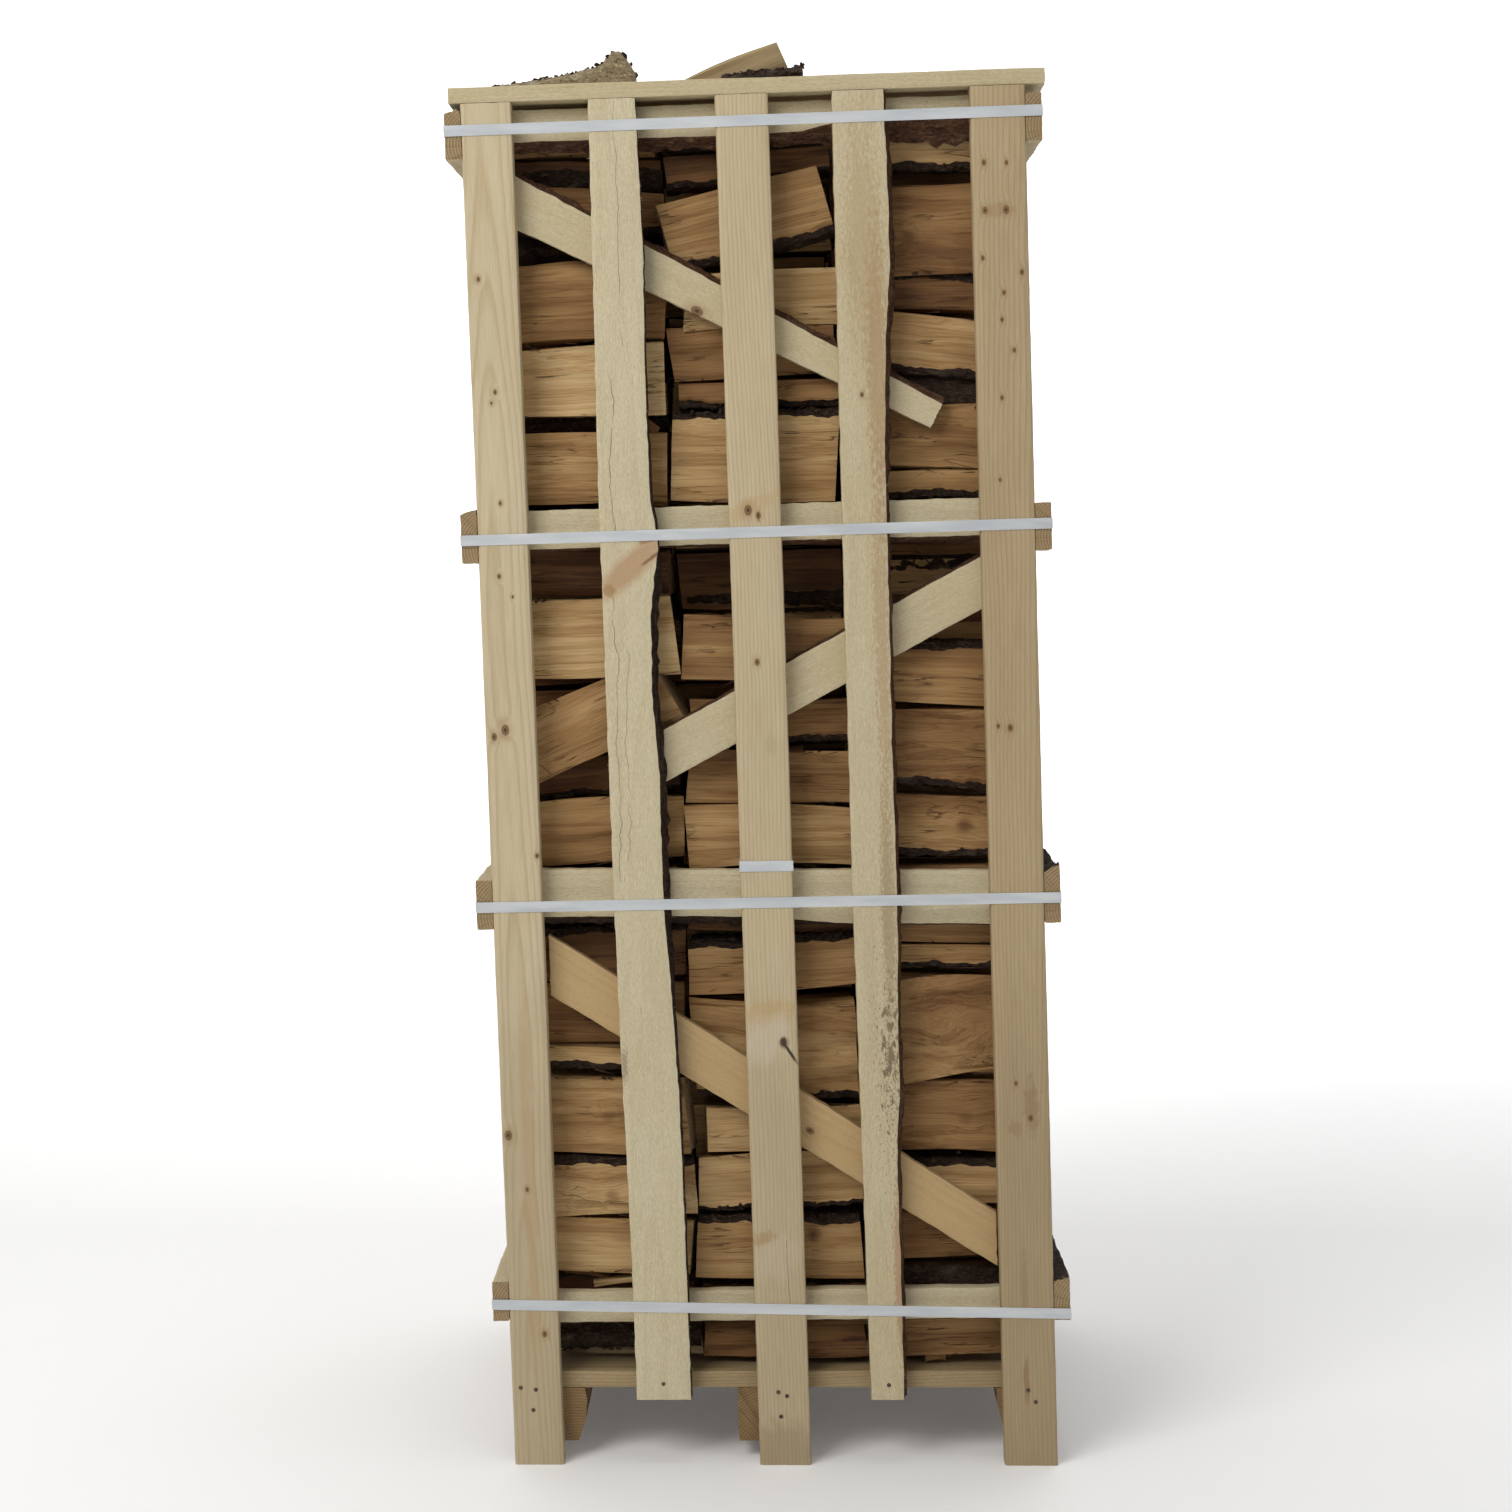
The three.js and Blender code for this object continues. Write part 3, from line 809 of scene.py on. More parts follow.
def wall_boards(wall, seed):
    """The uprights, rails, braces and top board of the front or back wall."""
    for index, (place, (pith, tone)) in enumerate(POST_LOOKS.items()):
        node = f"post_{place}_{wall}"
        wood = POST_WOOD[place] if wall == "front" else PLANED
        place_board(
            f"planed_{node}", node, "zxy", seed + index, wood=wood, slot="planed_pine",
            arris=0.004, fuzz=0.0001, warp=0.0004, pith=pith, taper=0.02, tone=tone,
        )
    place_board(
        f"sawn_slat_left_{wall}", f"slat_left_{wall}", "zxy", seed + 4, tone=0.05,
        edges=LEFT_SLAT, wane=(1, LEFT_SLAT_BARK), wood=LEFT_SLAT_WOOD, pith=(0.04, 0.12),
    )
    place_board(
        f"sawn_slat_right_{wall}", f"slat_right_{wall}", "zxy", seed + 5, tone=0.22,
        edges=RIGHT_SLAT, wane=(1, RIGHT_SLAT_BARK), wood=RIGHT_SLAT_WOOD, wane_bark=RIM_BARK,
    )
    place_board(f"flat_top_board_{wall}", f"top_board_{wall}", "xyz", seed + 6, tone=0.32)
    for index, level in enumerate(LEVELS):
        node = f"rail_{level}_{wall}"
        points = upright(node)
        left_end, right_end = points[points[:, 0] < 0], points[points[:, 0] > 0]
        ends = [-HALF_SPAN, HALF_SPAN]
        places, reach = RAIL_WANE[level]
        bottom = np.interp(places, ends, [left_end[:, 2].min(), right_end[:, 2].min()]) + np.array(reach)
        upper = (ends, [left_end[:, 2].max(), right_end[:, 2].max()])
        place_board(
            f"sawn_{node}", node, "xzy", seed + 10 + index, edges=((places, bottom), upper),
            wane=(-1, (places, reach)), wane_bark=RAIL_BARK[level], tone=0.12,
        )
    for index, (level, *look) in enumerate(BRACES):
        brace_board(f"brace_{level}_{wall}", seed + 20 + index, *look)


def front_outline(points):
    """The corners of a node's front face, in order round their middle."""
    front = points[points[:, 1] < points[:, 1].mean()][:, [0, 2]]
    corners = np.unique(np.round(front, 5), axis=0)
    centre = corners.mean(axis=0)
    turn = np.arctan2(corners[:, 1] - centre[1], corners[:, 0] - centre[0])
    return corners[np.argsort(turn)], centre


def brace_board(node, seed, tone, lower_edge, upper_edge, bark_reach, wood):
    """A diagonal board along its node's long sides. The edges shift by the given steps at each end."""
    points = upright(node)
    corners, centre = front_outline(points)
    sides = [(corners[i], corners[(i + 1) % 4]) for i in range(4)]
    longest = max(sides, key=lambda side: np.linalg.norm(side[1] - side[0]))
    direction = longest[1] - longest[0]
    direction = direction / np.linalg.norm(direction) * np.sign(direction[0])
    across = np.array([-direction[1], direction[0]])
    along, offset = (corners - centre) @ direction, (corners - centre) @ across
    upper, lower = along[offset > 0], along[offset < 0]
    width = offset.max() - offset.min()
    starts, ends = (lower.min() + upper.min()) / 2, (lower.max() + upper.max()) / 2
    axes = [np.array([line[0], 0, line[1]]) for line in (direction, across)] + [UNIT["y"]]
    depth = (points[:, 1].min(), points[:, 1].max())
    low = ([starts, ends], [offset.min() + lower_edge[0], offset.min() + lower_edge[1]])
    high = ([starts, ends], [offset.max() + upper_edge[0], offset.max() + upper_edge[1]])
    origin = (centre[0], 0, centre[1])
    board = Board(f"sawn_{node}", seed, axes, (starts, ends), [low, high], depth, origin)
    board.slant = ((upper.min() - lower.min()) / width, (upper.max() - lower.max()) / width)
    board.tone, board.wood, board.wane_bark = tone, wood, RIM_BARK
    if bark_reach:
        board.wane = (1, edge_line([[-1, bark_reach], [1, bark_reach]]))
    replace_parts(board.build(), node)


def runner(node, seed):
    """A pallet runner that keeps its node's section, waney side and all."""
    points = upright(node)
    section, centre = front_outline(points)
    share = np.linspace(0, 1, 6)[:-1, None]
    sides = zip(section, np.roll(section, -1, axis=0))
    outline = np.concatenate([start + share * (end - start) for start, end in sides])
    rng = np.random.default_rng(seed)
    y = np.linspace(points[:, 1].min(), points[:, 1].max(), 60)
    girth = np.linspace(0, 1, len(outline))
    swell = 1 + relief(rng, girth[None], y[:, None], 0.012, 2.5, 9)
    flat = centre + (outline - centre)[None] * swell[..., None]
    x, z = flat[..., 0], np.maximum(flat[..., 1], points[:, 2].min())
    depth = np.broadcast_to(y[:, None], x.shape)
    rings = np.stack([x, depth, z], -1)
    grain = np.stack([depth + seed, x - centre[0] - 0.02, z, depth, x, z], -1)
    pile = Pile()
    slots = np.full(len(outline), WOOD_SLOT)
    # The near-full dark tone is painted shade under the deck.
    pile.add(*loft(rings, grain, slots, END_SLOT, 1), 0.95)
    piece = pile.build(f"pallet_{node}", [PALLET, PINE_END, BARK])
    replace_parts(piece, node)


SIDE_RAIL_WANE = {
    ("upper", "left"): edge_line([[-0.4, 0.008], [0.4, 0.004]]),
    ("lower", "right"): edge_line([[-0.4, 0.010], [0.4, 0.006]]),
    ("top", "left"): edge_line([[-0.4, 0.005], [0.4, 0.008]]),
    ("bottom", "right"): edge_line([[-0.4, 0.006], [0.4, 0.004]]),
}


def side_and_base_boards():
    for side, number in (("left", 1), ("right", 2)):
        for index, level in enumerate(LEVELS):
            node = f"side_rail_{level}_{side}"
            wane = (1, SIDE_RAIL_WANE[level, side]) if (level, side) in SIDE_RAIL_WANE else None
            seed = 300 + 10 * number + index
            place_board(f"sawn_{node}", node, "yzx", seed, fuzz=0.0006, tone=0.4, wane=wane)
        for index, place in enumerate(("front", "back")):
            node = f"side_slat_{place}_{side}"
            place_board(f"sawn_{node}", node, "zyx", 340 + 10 * number + index, tone=0.3)
    for index in range(5):
        node = f"deck_board_{index + 1}"
        place_board(
            f"pallet_{node}", node, "xyz", 380 + index, wood=PALLET, slot="pallet_wood", tone=0.22,
        )
    for index, place in enumerate(("left", "middle", "right")):
        runner(f"runner_{place}", 390 + index)


wall_boards("front", 100)
wall_boards("back", 200)
side_and_base_boards()

# ---- Split logs ----

LOG_LENGTH = 0.25
# Logs in view are finely modelled, and hidden ones coarsely.
FINE_STEP, COARSE_STEP = 0.006, 0.02
FINE_STATIONS, COARSE_STATIONS = 32, 5
SEAM_WAVES = [(0.0022, 9), (0.0014, 23), (0.0009, 60)]
SEAM_REACH = 0.012
STACK_LOW, STACK_HIGH = upright_box("log_stack_left")
STACK_FRONT, STACK_BACK, STACK_TOP = STACK_LOW[1], STACK_HIGH[1], STACK_HIGH[2]
COLUMN_CENTRES = {
    "left": upright("log_stack_left")[:, 0].mean(),
    "middle": 0.0,
    "right": upright("log_stack_right")[:, 0].mean(),
}


def outline_ring(corners, tags, bulges, spacing):
    """Samples a closed outline in the Y-Z plane, bowing each side outwards by its bulge."""
    points, labels = [], []
    count = len(corners)
    for i in range(count):
        start, end = corners[i], corners[(i + 1) % count]
        side = end - start
        length = np.linalg.norm(side)
        out = np.array([side[1], -side[0]]) / length
        steps = max(2, int(length / spacing))
        share = np.arange(steps) / steps
        bow = bulges[i] * 4 * share * (1 - share)
        points.append(start + share[:, None] * side + bow[:, None] * out)
        labels += [tags[i]] * steps
    return np.concatenate(points), np.array(labels)


def turned(a, b, angle):
    """Turns the points at a, b by an angle in radians."""
    cos, sin = math.cos(angle), math.sin(angle)
    return a * cos - b * sin, a * sin + b * cos


def add_log(pile, rng, corners, tags, centre, length=LOG_LENGTH, tilt=0.0, swing=0.0, tone=0.3,
            fine=True, seam=None, curl=0.0, knot=None, profile=None):
    """One split log along X. corners go round its section anticlockwise seen from +X, as [y, z].

    A seam is the height of the line between bark and wood, which wanders. A profile gives the share
    of the log's height at points along it.
    """
    corners = np.array(corners, float)
    bulges = [rng.uniform(0.004, 0.010) if tag == BARK_SLOT else rng.normal(0, 0.0012) for tag in tags]
    section, labels = outline_ring(corners, tags, bulges, FINE_STEP if fine else COARSE_STEP)
    middle = section.mean(axis=0)
    stations = FINE_STATIONS if fine else COARSE_STATIONS
    u = np.linspace(-0.5, 0.5, stations) * length
    step = np.linalg.norm(np.roll(section, -1, axis=0) - section, axis=1)
    girth = np.cumsum(step) - step[0]
    outward = np.roll(section, -1, axis=0) - np.roll(section, 1, axis=0)
    outward = np.stack([outward[:, 1], -outward[:, 0]], axis=1)
    outward /= np.linalg.norm(outward, axis=1)[:, None] + 1e-9
    s, uu = girth[None], u[:, None]
    swell = 1 + 2.5 * curl
    wood = relief(rng, s, uu, 0.0026 * swell, 12, 3.5) + relief(rng, s, uu, 0.0007 * swell, 50, 6)
    crust = relief(rng, s, uu, 0.0015, 40, 40, 10) + relief(rng, s, uu, 0.0010, 80, 60, 10)
    lift = np.where(labels == BARK_SLOT, crust, wood)
    taper = 1 + rng.normal(0, 0.035) * (uu / length) * 2
    bend = rng.normal(0, 0.002) * (1 - (2 * uu / length) ** 2)
    shape = middle + (section - middle)[None] * taper[..., None]
    shape = shape + outward[None] * lift[..., None]
    shape[..., 1] += bend
    if seam is not None:
        wander = ripple(rng, uu, SEAM_WAVES)
        shape[..., 1] += wander * np.exp(-((shape[..., 1] - seam) / SEAM_REACH) ** 2)
    if profile is not None:
        base = corners[:, 1].min()
        shape[..., 1] = base + (shape[..., 1] - base) * np.interp(uu, *profile)
    turn = rng.normal(0, 0.05) * (uu / length)
    y = shape[..., 0] - middle[0]
    z = shape[..., 1] - middle[1]
    y, z = y - turn * z, z + turn * y
    share = uu / length + 0.5
    cut_y, cut_z = rng.uniform(-0.12, 0.12, 2), rng.uniform(-0.1, 0.1, 2)
    left_cut, right_cut = (cut_y[i] * y + cut_z[i] * z for i in (0, 1))
    x = uu + left_cut * (1 - share) ** 4 + right_cut * share ** 4
    pith = rng.uniform(0.3, 0.9) * np.array([0.06, 0.05]) * rng.choice([-1, 1], 2)
    up_face = z + middle[1] - corners[:, 1].min()
    grain = np.stack([x + rng.uniform(1, 90), y - pith[0], z - pith[1], x, y, up_face], -1)
    knot = NO_KNOT if knot is None else (knot[0], y.min(), knot[1])
    x, z = turned(x, z, tilt)
    x, y = turned(x, y, swing)
    rings = np.stack([x + centre[0], y + middle[0], z + centre[1] + middle[1]], -1)
    rings[..., 1] = np.clip(rings[..., 1], STACK_FRONT - 0.001, None)
    pile.add(*loft(rings, grain, labels, END_SLOT, 2 if fine else 1), tone, curl, knot)
    return rings


# Visible front logs, from the top course down, in mm: [lower edge height, left face height, right face
# height, tilt in degrees, set back, left end inset, tone 0 pale to 1 dark, bark side]. The tones are the
# wood's own colour, with painted shade added on the darkest ones, the logs set far back or tucked under
# boards and braces.
FRONT_LOGS = {
    "left": [
        [1992, 52, 50, 0, 10, 2, 0.5, "none"], [1938, 48, 46, -1, 30, 5, 0.8, "under"],
        [1880, 66, 56, -3, 24, 6, 0.55, "bottom"], [1836, 40, 40, 1, 62, 0, 0.95, "front"],
        [1713, 121, 110, 1.5, 6, 4, 0.5, "none"], [1604, 104, 96, 1, 4, -2, 0.06, "none"],
        [1579, 20, 20, 2, 50, 4, 0.9, "front"], [1470, 105, 103, -0.8, 8, 2, 0.3, "none"],
        [1404, 55, 55, 0, 40, 0, 0.8, "none"], [1330, 70, 70, -1.5, 34, 0, 0.85, "none"],
        [1208, 126, 112, 1.5, 6, 3, 0.12, "none"], [1090, 110, 98, 24, 0, 4, 0.3, "none"],
        [1022, 62, 60, 4, 44, 0, 0.8, "bottom"], [922, 92, 100, 2.5, 12, 4, 0.4, "none"],
        [838, 75, 75, 0, 20, 0, 0.6, "none"], [742, 85, 70, 2, 24, 0, 0.66, "top"],
        [640, 88, 100, 0, 22, 2, 0.52, "none"], [601, 26, 36, -3, 10, 0, 0.2, "bottom"],
        [472, 118, 114, -0.3, 6, 2, 0.28, "none"], [375, 90, 87, -0.3, 4, 3, 0.16, "top"],
        [284, 83, 86, -1.5, 8, 1, 0.18, "none"], [214, 60, 60, 0, 40, 0, 0.9, "top"],
        [158, 46, 40, 0.8, 20, 2, 0.85, "front"],
    ],
    "middle": [
        [1988, 34, 30, 0.5, 20, 3, 0.75, "under"], [1948, 46, 40, 4, 24, 3, 0.76, "bottom"],
        [1838, 100, 104, 12.5, 2, -3, 0.36, "bottom"], [1728, 78, 88, 0.5, 10, 30, 0.12, "none"],
        [1655, 112, 60, 2.5, 14, 4, 0.52, "none"], [1609, 36, 40, 0, 10, 14, 0.48, "bottom"],
        [1469, 133, 134, -0.5, 3, 2, 0.24, "top"], [1405, 50, 50, 0, 44, 4, 0.8, "none"],
        [1350, 34, 34, -1, 96, 8, 0.95, "none"], [1300, 40, 40, 0, 84, 20, 0.9, "front"],
        [1196, 102, 94, -1.5, 6, 9, 0.44, "none"], [1104, 66, 62, 0.5, 16, 16, 0.48, "bottom"],
        [1010, 72, 86, -1.5, 12, 12, 0.4, "none"], [912, 95, 90, -0.4, 4, 1, 0.3, "none"],
        [812, 70, 70, 0, 26, 4, 0.8, "top"], [725, 80, 78, 2, 6, 4, 0.36, "top"],
        [562, 136, 148, -1.5, 8, 0, 0.36, "bottom"], [476, 66, 66, 0.5, 12, 16, 0.14, "none"],
        [385, 84, 83, 2, 6, 4, 0.18, "bottom"], [274, 96, 97, 0, 3, 1, 0.34, "top"],
        [212, 56, 56, 0, 24, 4, 0.7, "top"], [150, 58, 55, 1.2, 10, 0, 0.66, "none"],
    ],
    "right": [
        [1994, 36, 36, 0, 14, 4, 0.9, "front"], [1955, 36, 40, -1.5, 8, 4, 0.12, "bottom"],
        [1801, 130, 124, -0.5, 1, 4, 0.54, "none"], [1744, 50, 56, -1.5, 14, 4, 0.66, "top"],
        [1652, 90, 80, -6, 4, 4, 0.24, "bottom"], [1600, 60, 50, -6, 16, 4, 0.7, "front"],
        [1510, 90, 94, -2, 6, 4, 0.46, "none"], [1468, 36, 36, -0.5, 10, 4, 0.34, "bottom"],
        [1402, 60, 60, 0, 44, 4, 0.85, "none"], [1340, 52, 52, 0, 96, 4, 0.95, "front"],
        [1262, 60, 60, 0, 80, 4, 0.9, "none"], [1158, 96, 86, -2.5, 5, 4, 0.44, "top"],
        [1032, 118, 106, -3, 5, 4, 0.48, "bottom"], [932, 86, 86, -2, 5, 4, 0.44, "bottom"],
        [828, 84, 84, 0, 14, 4, 0.6, "none"], [794, 26, 30, -2, 8, 4, 0.5, "none"],
        [754, 36, 32, -1, 10, 4, 0.3, "bottom"], [590, 150, 136, 1, 1, 4, 0.42, "none"],
        [469, 110, 112, -1, 6, 4, 0.5, "none"], [387, 66, 68, -0.5, 16, 4, 0.28, "top"],
        [304, 74, 66, 0.5, 18, 4, 0.55, "none"], [222, 70, 64, 0, 16, 4, 0.9, "front"],
        [155, 54, 54, 0.5, 8, 4, 0.46, "none"],
    ],
}
# Curly grain and knots: [along the log, up its face].
LOG_FEATURES = {
    ("left", 13): dict(knot=(0.03, 0.02)), ("left", 18): dict(knot=(0.0, 0.055), curl=0.1),
    ("left", 19): dict(knot=(0.0, 0.03), curl=0.5), ("middle", 16): dict(knot=(-0.02, 0.09), curl=0.25),
    ("middle", 19): dict(knot=(0.05, 0.07)), ("right", 2): dict(knot=(-0.02, 0.05), curl=0.25),
    ("right", 4): dict(curl=0.35), ("right", 6): dict(curl=0.2), ("right", 12): dict(curl=0.35),
    ("right", 13): dict(knot=(0.04, 0.04)), ("right", 17): dict(curl=0.9, knot=(0.0, 0.05)),
    ("right", 18): dict(knot=(0.03, 0.05), curl=0.15), ("middle", 5): dict(knot=(0.0, 0.02)),
}


def front_section(rng, height, side):
    """A front log's corners, what its sides are made of, and the height of its bark seam."""
    depth = rng.uniform(0.075, 0.105)
    back_low, back_high = rng.uniform(-0.004, 0.012), height + rng.uniform(-0.014, 0.006)
    back = [[depth, back_low], [depth * 0.97, back_high]]
    ridge = [rng.uniform(-0.011, 0.003), height * rng.uniform(0.3, 0.7)]
    wood, crust = [WOOD_SLOT], [BARK_SLOT]
    if side == "none":
        lean = rng.uniform(-0.008, 0.008)
        return [[max(lean, 0), height], ridge, [max(-lean, 0), 0], *back], wood * 5, None
    if side == "bottom":
        band = min(rng.uniform(0.006, 0.012), height * 0.25)
        corners = [[0, height], ridge, [0, band], [0.018, 0.001], *back]
        return corners, wood * 2 + crust * 2 + wood * 2, band
    if side == "top":
        band = height - min(0.009, height * 0.25)
        return [[0.022, height], [0, band], ridge, [0, 0], *back], crust + wood * 4 + crust, band
    if side == "under":
        band = height - 0.013
        return [[0, height], [0, band], [0.03, 0], *back], wood + crust * 2 + wood * 2, band
    corners = [[0.004, height * 0.8], [0, height * 0.25], [0.02, 0], *back, [0.02, height]]
    return corners, crust * 2 + wood * 3 + crust, None


# How many flakes of bark a front log carries, by its bark side.
CRUSTS = {"none": 5, "bottom": 26, "top": 22, "under": 24, "front": 12}
SPLINTERS = 7
flake_spots, splinter_spots = [], []


def front_logs():
    for column, rows in FRONT_LOGS.items():
        for index, (*sizes, tilt, set_back, inset, tone, side) in enumerate(rows):
            rng = np.random.default_rng([7, len(column), index])
            low, left_height, right_height = (size / 1000 for size in sizes)
            height = (left_height + right_height) / 2
            corners, tags, seam = front_section(rng, height, side)
            corners = np.array(corners)
            face = STACK_FRONT + set_back * MM
            corners[:, 0] += face
            centre = (COLUMN_CENTRES[column] + inset * MM, low)
            features = LOG_FEATURES.get((column, index), {})
            slope = math.radians(tilt)
            pile = Pile()
            swing = rng.normal(0, 0.012)
            add_log(
                pile, rng, corners, tags, centre, tilt=slope, swing=swing, tone=tone, seam=seam,
                **features,
            )
            piece = pile.build(f"log_{column}_{index + 1}", [BIRCH, BIRCH_END, BARK])
            levels = {"bottom": 0.003, "top": height, "under": height * 0.6}
            for _ in range(CRUSTS[side]):
                along = rng.uniform(-0.118, 0.118)
                level = low + levels.get(side, rng.choice([0, height]))
                deep, rise = rng.uniform(0.0, 0.012), along * math.sin(slope)
                spot = [centre[0] + along, face + deep, level + rise]
                flake_spots.append((spot, rng.uniform(0.003, 0.008) * (0.6 if side == "none" else 1)))
            for _ in range(SPLINTERS):
                along, up = rng.uniform(-0.12, 0.12), rng.choice([0.0, 1.0])
                spot = [centre[0] + along, face - 0.0005, low + up * height + along * math.sin(slope)]
                aim = [rng.choice([-1, 1]), rng.normal(-0.12, 0.1), math.sin(slope) + rng.normal(0, 0.22)]
                splinter_spots.append((spot, aim, rng.uniform(0.008, 0.034)))


front_logs()

# Behind the front course: where the logs start, the courses in a column, the shallowest log at the
# back, the shares of cells split in two and of logs with bark, and how far a log's corners draw in.
FRONT_CELL = 0.082
COURSES = 20
BACK_CELL = 0.05
TRIANGLE_SHARE, BARK_SHARE = 0.45, 0.6
JOINT = 0.006


def column_courses(column, rng):
    """The logs behind the front course, laid in wavy courses that are split up by slanting joints."""
    lowest = min(row[0] for row in FRONT_LOGS[column]) / 1000
    heights = np.linspace(lowest, STACK_TOP - 0.002, COURSES + 1)
    heights[1:-1] += rng.uniform(-0.014, 0.014, COURSES - 1)
    heights[0] += 0.006
    waves = [(rng.uniform(0.004, 0.012), rng.uniform(1.5, 3), rng.random()) for _ in heights]

    def line(k, y):
        if k in (0, COURSES):
            return heights[k]
        size, rate, phase = waves[k]
        return heights[k] + size * math.sin(TAU * (rate * y + phase))

    pile = Pile()
    for k in range(COURSES):
        y = STACK_FRONT + FRONT_CELL + rng.uniform(-0.01, 0.02)
        slant = 0.0
        while y < STACK_BACK - BACK_CELL:
            width = rng.uniform(0.075, 0.125)
            last = y + width > STACK_BACK - BACK_CELL
            end = STACK_BACK - rng.uniform(0.0, 0.012) if last else y + width
            next_slant = 0.0 if last else rng.uniform(-0.02, 0.02)
            cell = [
                [y - slant, line(k, y)],
                [end - next_slant, line(k, end)],
                [end + next_slant, line(k + 1, end)],
                [y + slant, line(k + 1, y)],
            ]
            parts = [cell]
            if rng.random() < TRIANGLE_SHARE and not last:
                parts = [[cell[0], cell[1], cell[2]], [cell[0], cell[2], cell[3]]]
                if rng.random() < 0.5:
                    parts = [[cell[0], cell[1], cell[3]], [cell[1], cell[2], cell[3]]]
            for part in parts:
                part = np.array(part)
                middle = part.mean(axis=0)
                reach = np.linalg.norm(part - middle, axis=1)[:, None]
                part = middle + (part - middle) * (1 - JOINT / reach)
                tags = [WOOD_SLOT] * len(part)
                if rng.random() < BARK_SHARE:
                    tags[rng.integers(len(part))] = BARK_SLOT
                x = COLUMN_CENTRES[column] + rng.normal(0, 0.004)
                seen = last or k == COURSES - 1
                add_log(pile, rng, part[::-1], tags, (x, 0.0), tone=rng.uniform(0.0, 0.8), fine=seen)
            y, slant = end, next_slant
    return pile


for column, nodes in (
    ("left", ["log_stack_left"]),
    ("middle", ["log_stack_middle_lower", "log_stack_middle_upper"]),
    ("right", ["log_stack_right"]),
):
    stack = column_courses(column, np.random.default_rng([11, len(column)]))
    piece = stack.build(f"log_pile_{column}", [BIRCH, BIRCH_END, BARK])
    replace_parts(piece, *nodes)


def loose_log(name, node, barks, tone, tilt, section, tags, centre, length, profile=None):
    """A log lying on the stack. Returns its rings, for flakes of bark to grow on."""
    pile = Pile()
    rng = np.random.default_rng(len(name))
    shape = dict(length=length, tilt=tilt, tone=tone, profile=profile)
    rings = add_log(pile, rng, section, tags, centre, **shape)
    piece = pile.build(name, [AGED_BIRCH, BIRCH_END, barks])
    if node:
        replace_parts(piece, node)
    return rings


low, high = upright_box("loose_log_left")
bark_rings = loose_log(
    "loose_bark_log", "loose_log_left", PALE_BARK, 0.5, 0.0,
    [
        [low[1], 0.05], [low[1] + 0.01, 0.008], [low[1] + 0.045, 0.0], [high[1], 0.03],
        [high[1] - 0.02, 0.070], [low[1] + 0.03, 0.078],
    ],
    [BARK_SLOT, WOOD_SLOT, WOOD_SLOT, WOOD_SLOT, BARK_SLOT, BARK_SLOT],
    ((low[0] + high[0]) / 2, low[2] + 0.001), LOG_LENGTH,
    ([-0.125, -0.09, -0.05, 0.0, 0.03, 0.06, 0.078, 0.092, 0.100, 0.112, 0.125],
     [0.62, 0.78, 0.84, 0.93, 1.00, 1.07, 1.18, 1.37, 1.36, 1.22, 0.9]),
)
low, high = upright_box("loose_log_middle")
loose_log(
    "loose_split_log", "loose_log_middle", BARK, 0.36, math.radians(20.5),
    [[low[1], 0.07], [low[1], 0.012], [low[1] + 0.03, 0.0], [high[1], 0.02], [high[1] - 0.01, 0.066]],
    [WOOD_SLOT, BARK_SLOT, BARK_SLOT, WOOD_SLOT, WOOD_SLOT],
    ((low[0] + high[0]) / 2 - 0.011, low[2] - 0.001), 0.235,
)
strip_rings = loose_log(
    "loose_bark_strip", None, BARK, 0.5, math.radians(4),
    [[low[1] - 0.02, 0.014], [low[1] - 0.02, 0.0], [low[1], 0.0], [low[1], 0.010]],
    [BARK_SLOT] * 4, (0.031, low[2] + 0.046), 0.122,
)

# Crust along the tops of the loose bark log and the bark strip.
crust_rng = np.random.default_rng(29)
for rings, count, reach in ((bark_rings, 110, 0.006), (strip_rings, 50, 0.012)):
    for station in crust_rng.integers(0, len(rings), count):
        crest = rings[station][rings[station][:, 2] > rings[station][:, 2].max() - reach]
        spot = list(crest[crust_rng.integers(len(crest))])
        flake_spots.append((spot, crust_rng.uniform(0.002, 0.0062)))

# Thin offcuts wedged between logs: [x, z, length, height, tilt in degrees, set back in mm, tone].
CHIPS = [
    [-0.235, 0.262, 0.11, 0.010, 6.0, 12, 0.05], [0.236, 0.142, 0.032, 0.015, 0.0, 8, 0.5],
    [-0.165, 1.585, 0.05, 0.012, -35.0, 12, 0.6], [0.068, 1.196, 0.03, 0.02, 50.0, 2, 0.3],
    [0.03, 1.092, 0.06, 0.008, -4.0, 8, 0.8], [-0.30, 0.27, 0.07, 0.008, -12.0, 26, 0.5],
]
chips = Pile()
for index, (x, z, length, height, tilt, set_back, tone) in enumerate(CHIPS):
    face = STACK_FRONT + set_back * MM
    section = [[face, height], [face, 0.0], [face + 0.02, 0.0], [face + 0.02, height * 0.8]]
    chip_rng = np.random.default_rng(60 + index)
    slope = math.radians(tilt)
    add_log(chips, chip_rng, section, [WOOD_SLOT] * 4, (x, z), length=length, tilt=slope, tone=tone)
chip_piece = chips.build("thin_offcuts", [BIRCH, BIRCH_END, BARK])

# ---- Scattered flakes, splinters and nails, grown with Geometry Nodes ----

# Bumps a metre on the grown shapes.
ROUGH_SCALE = 260.0


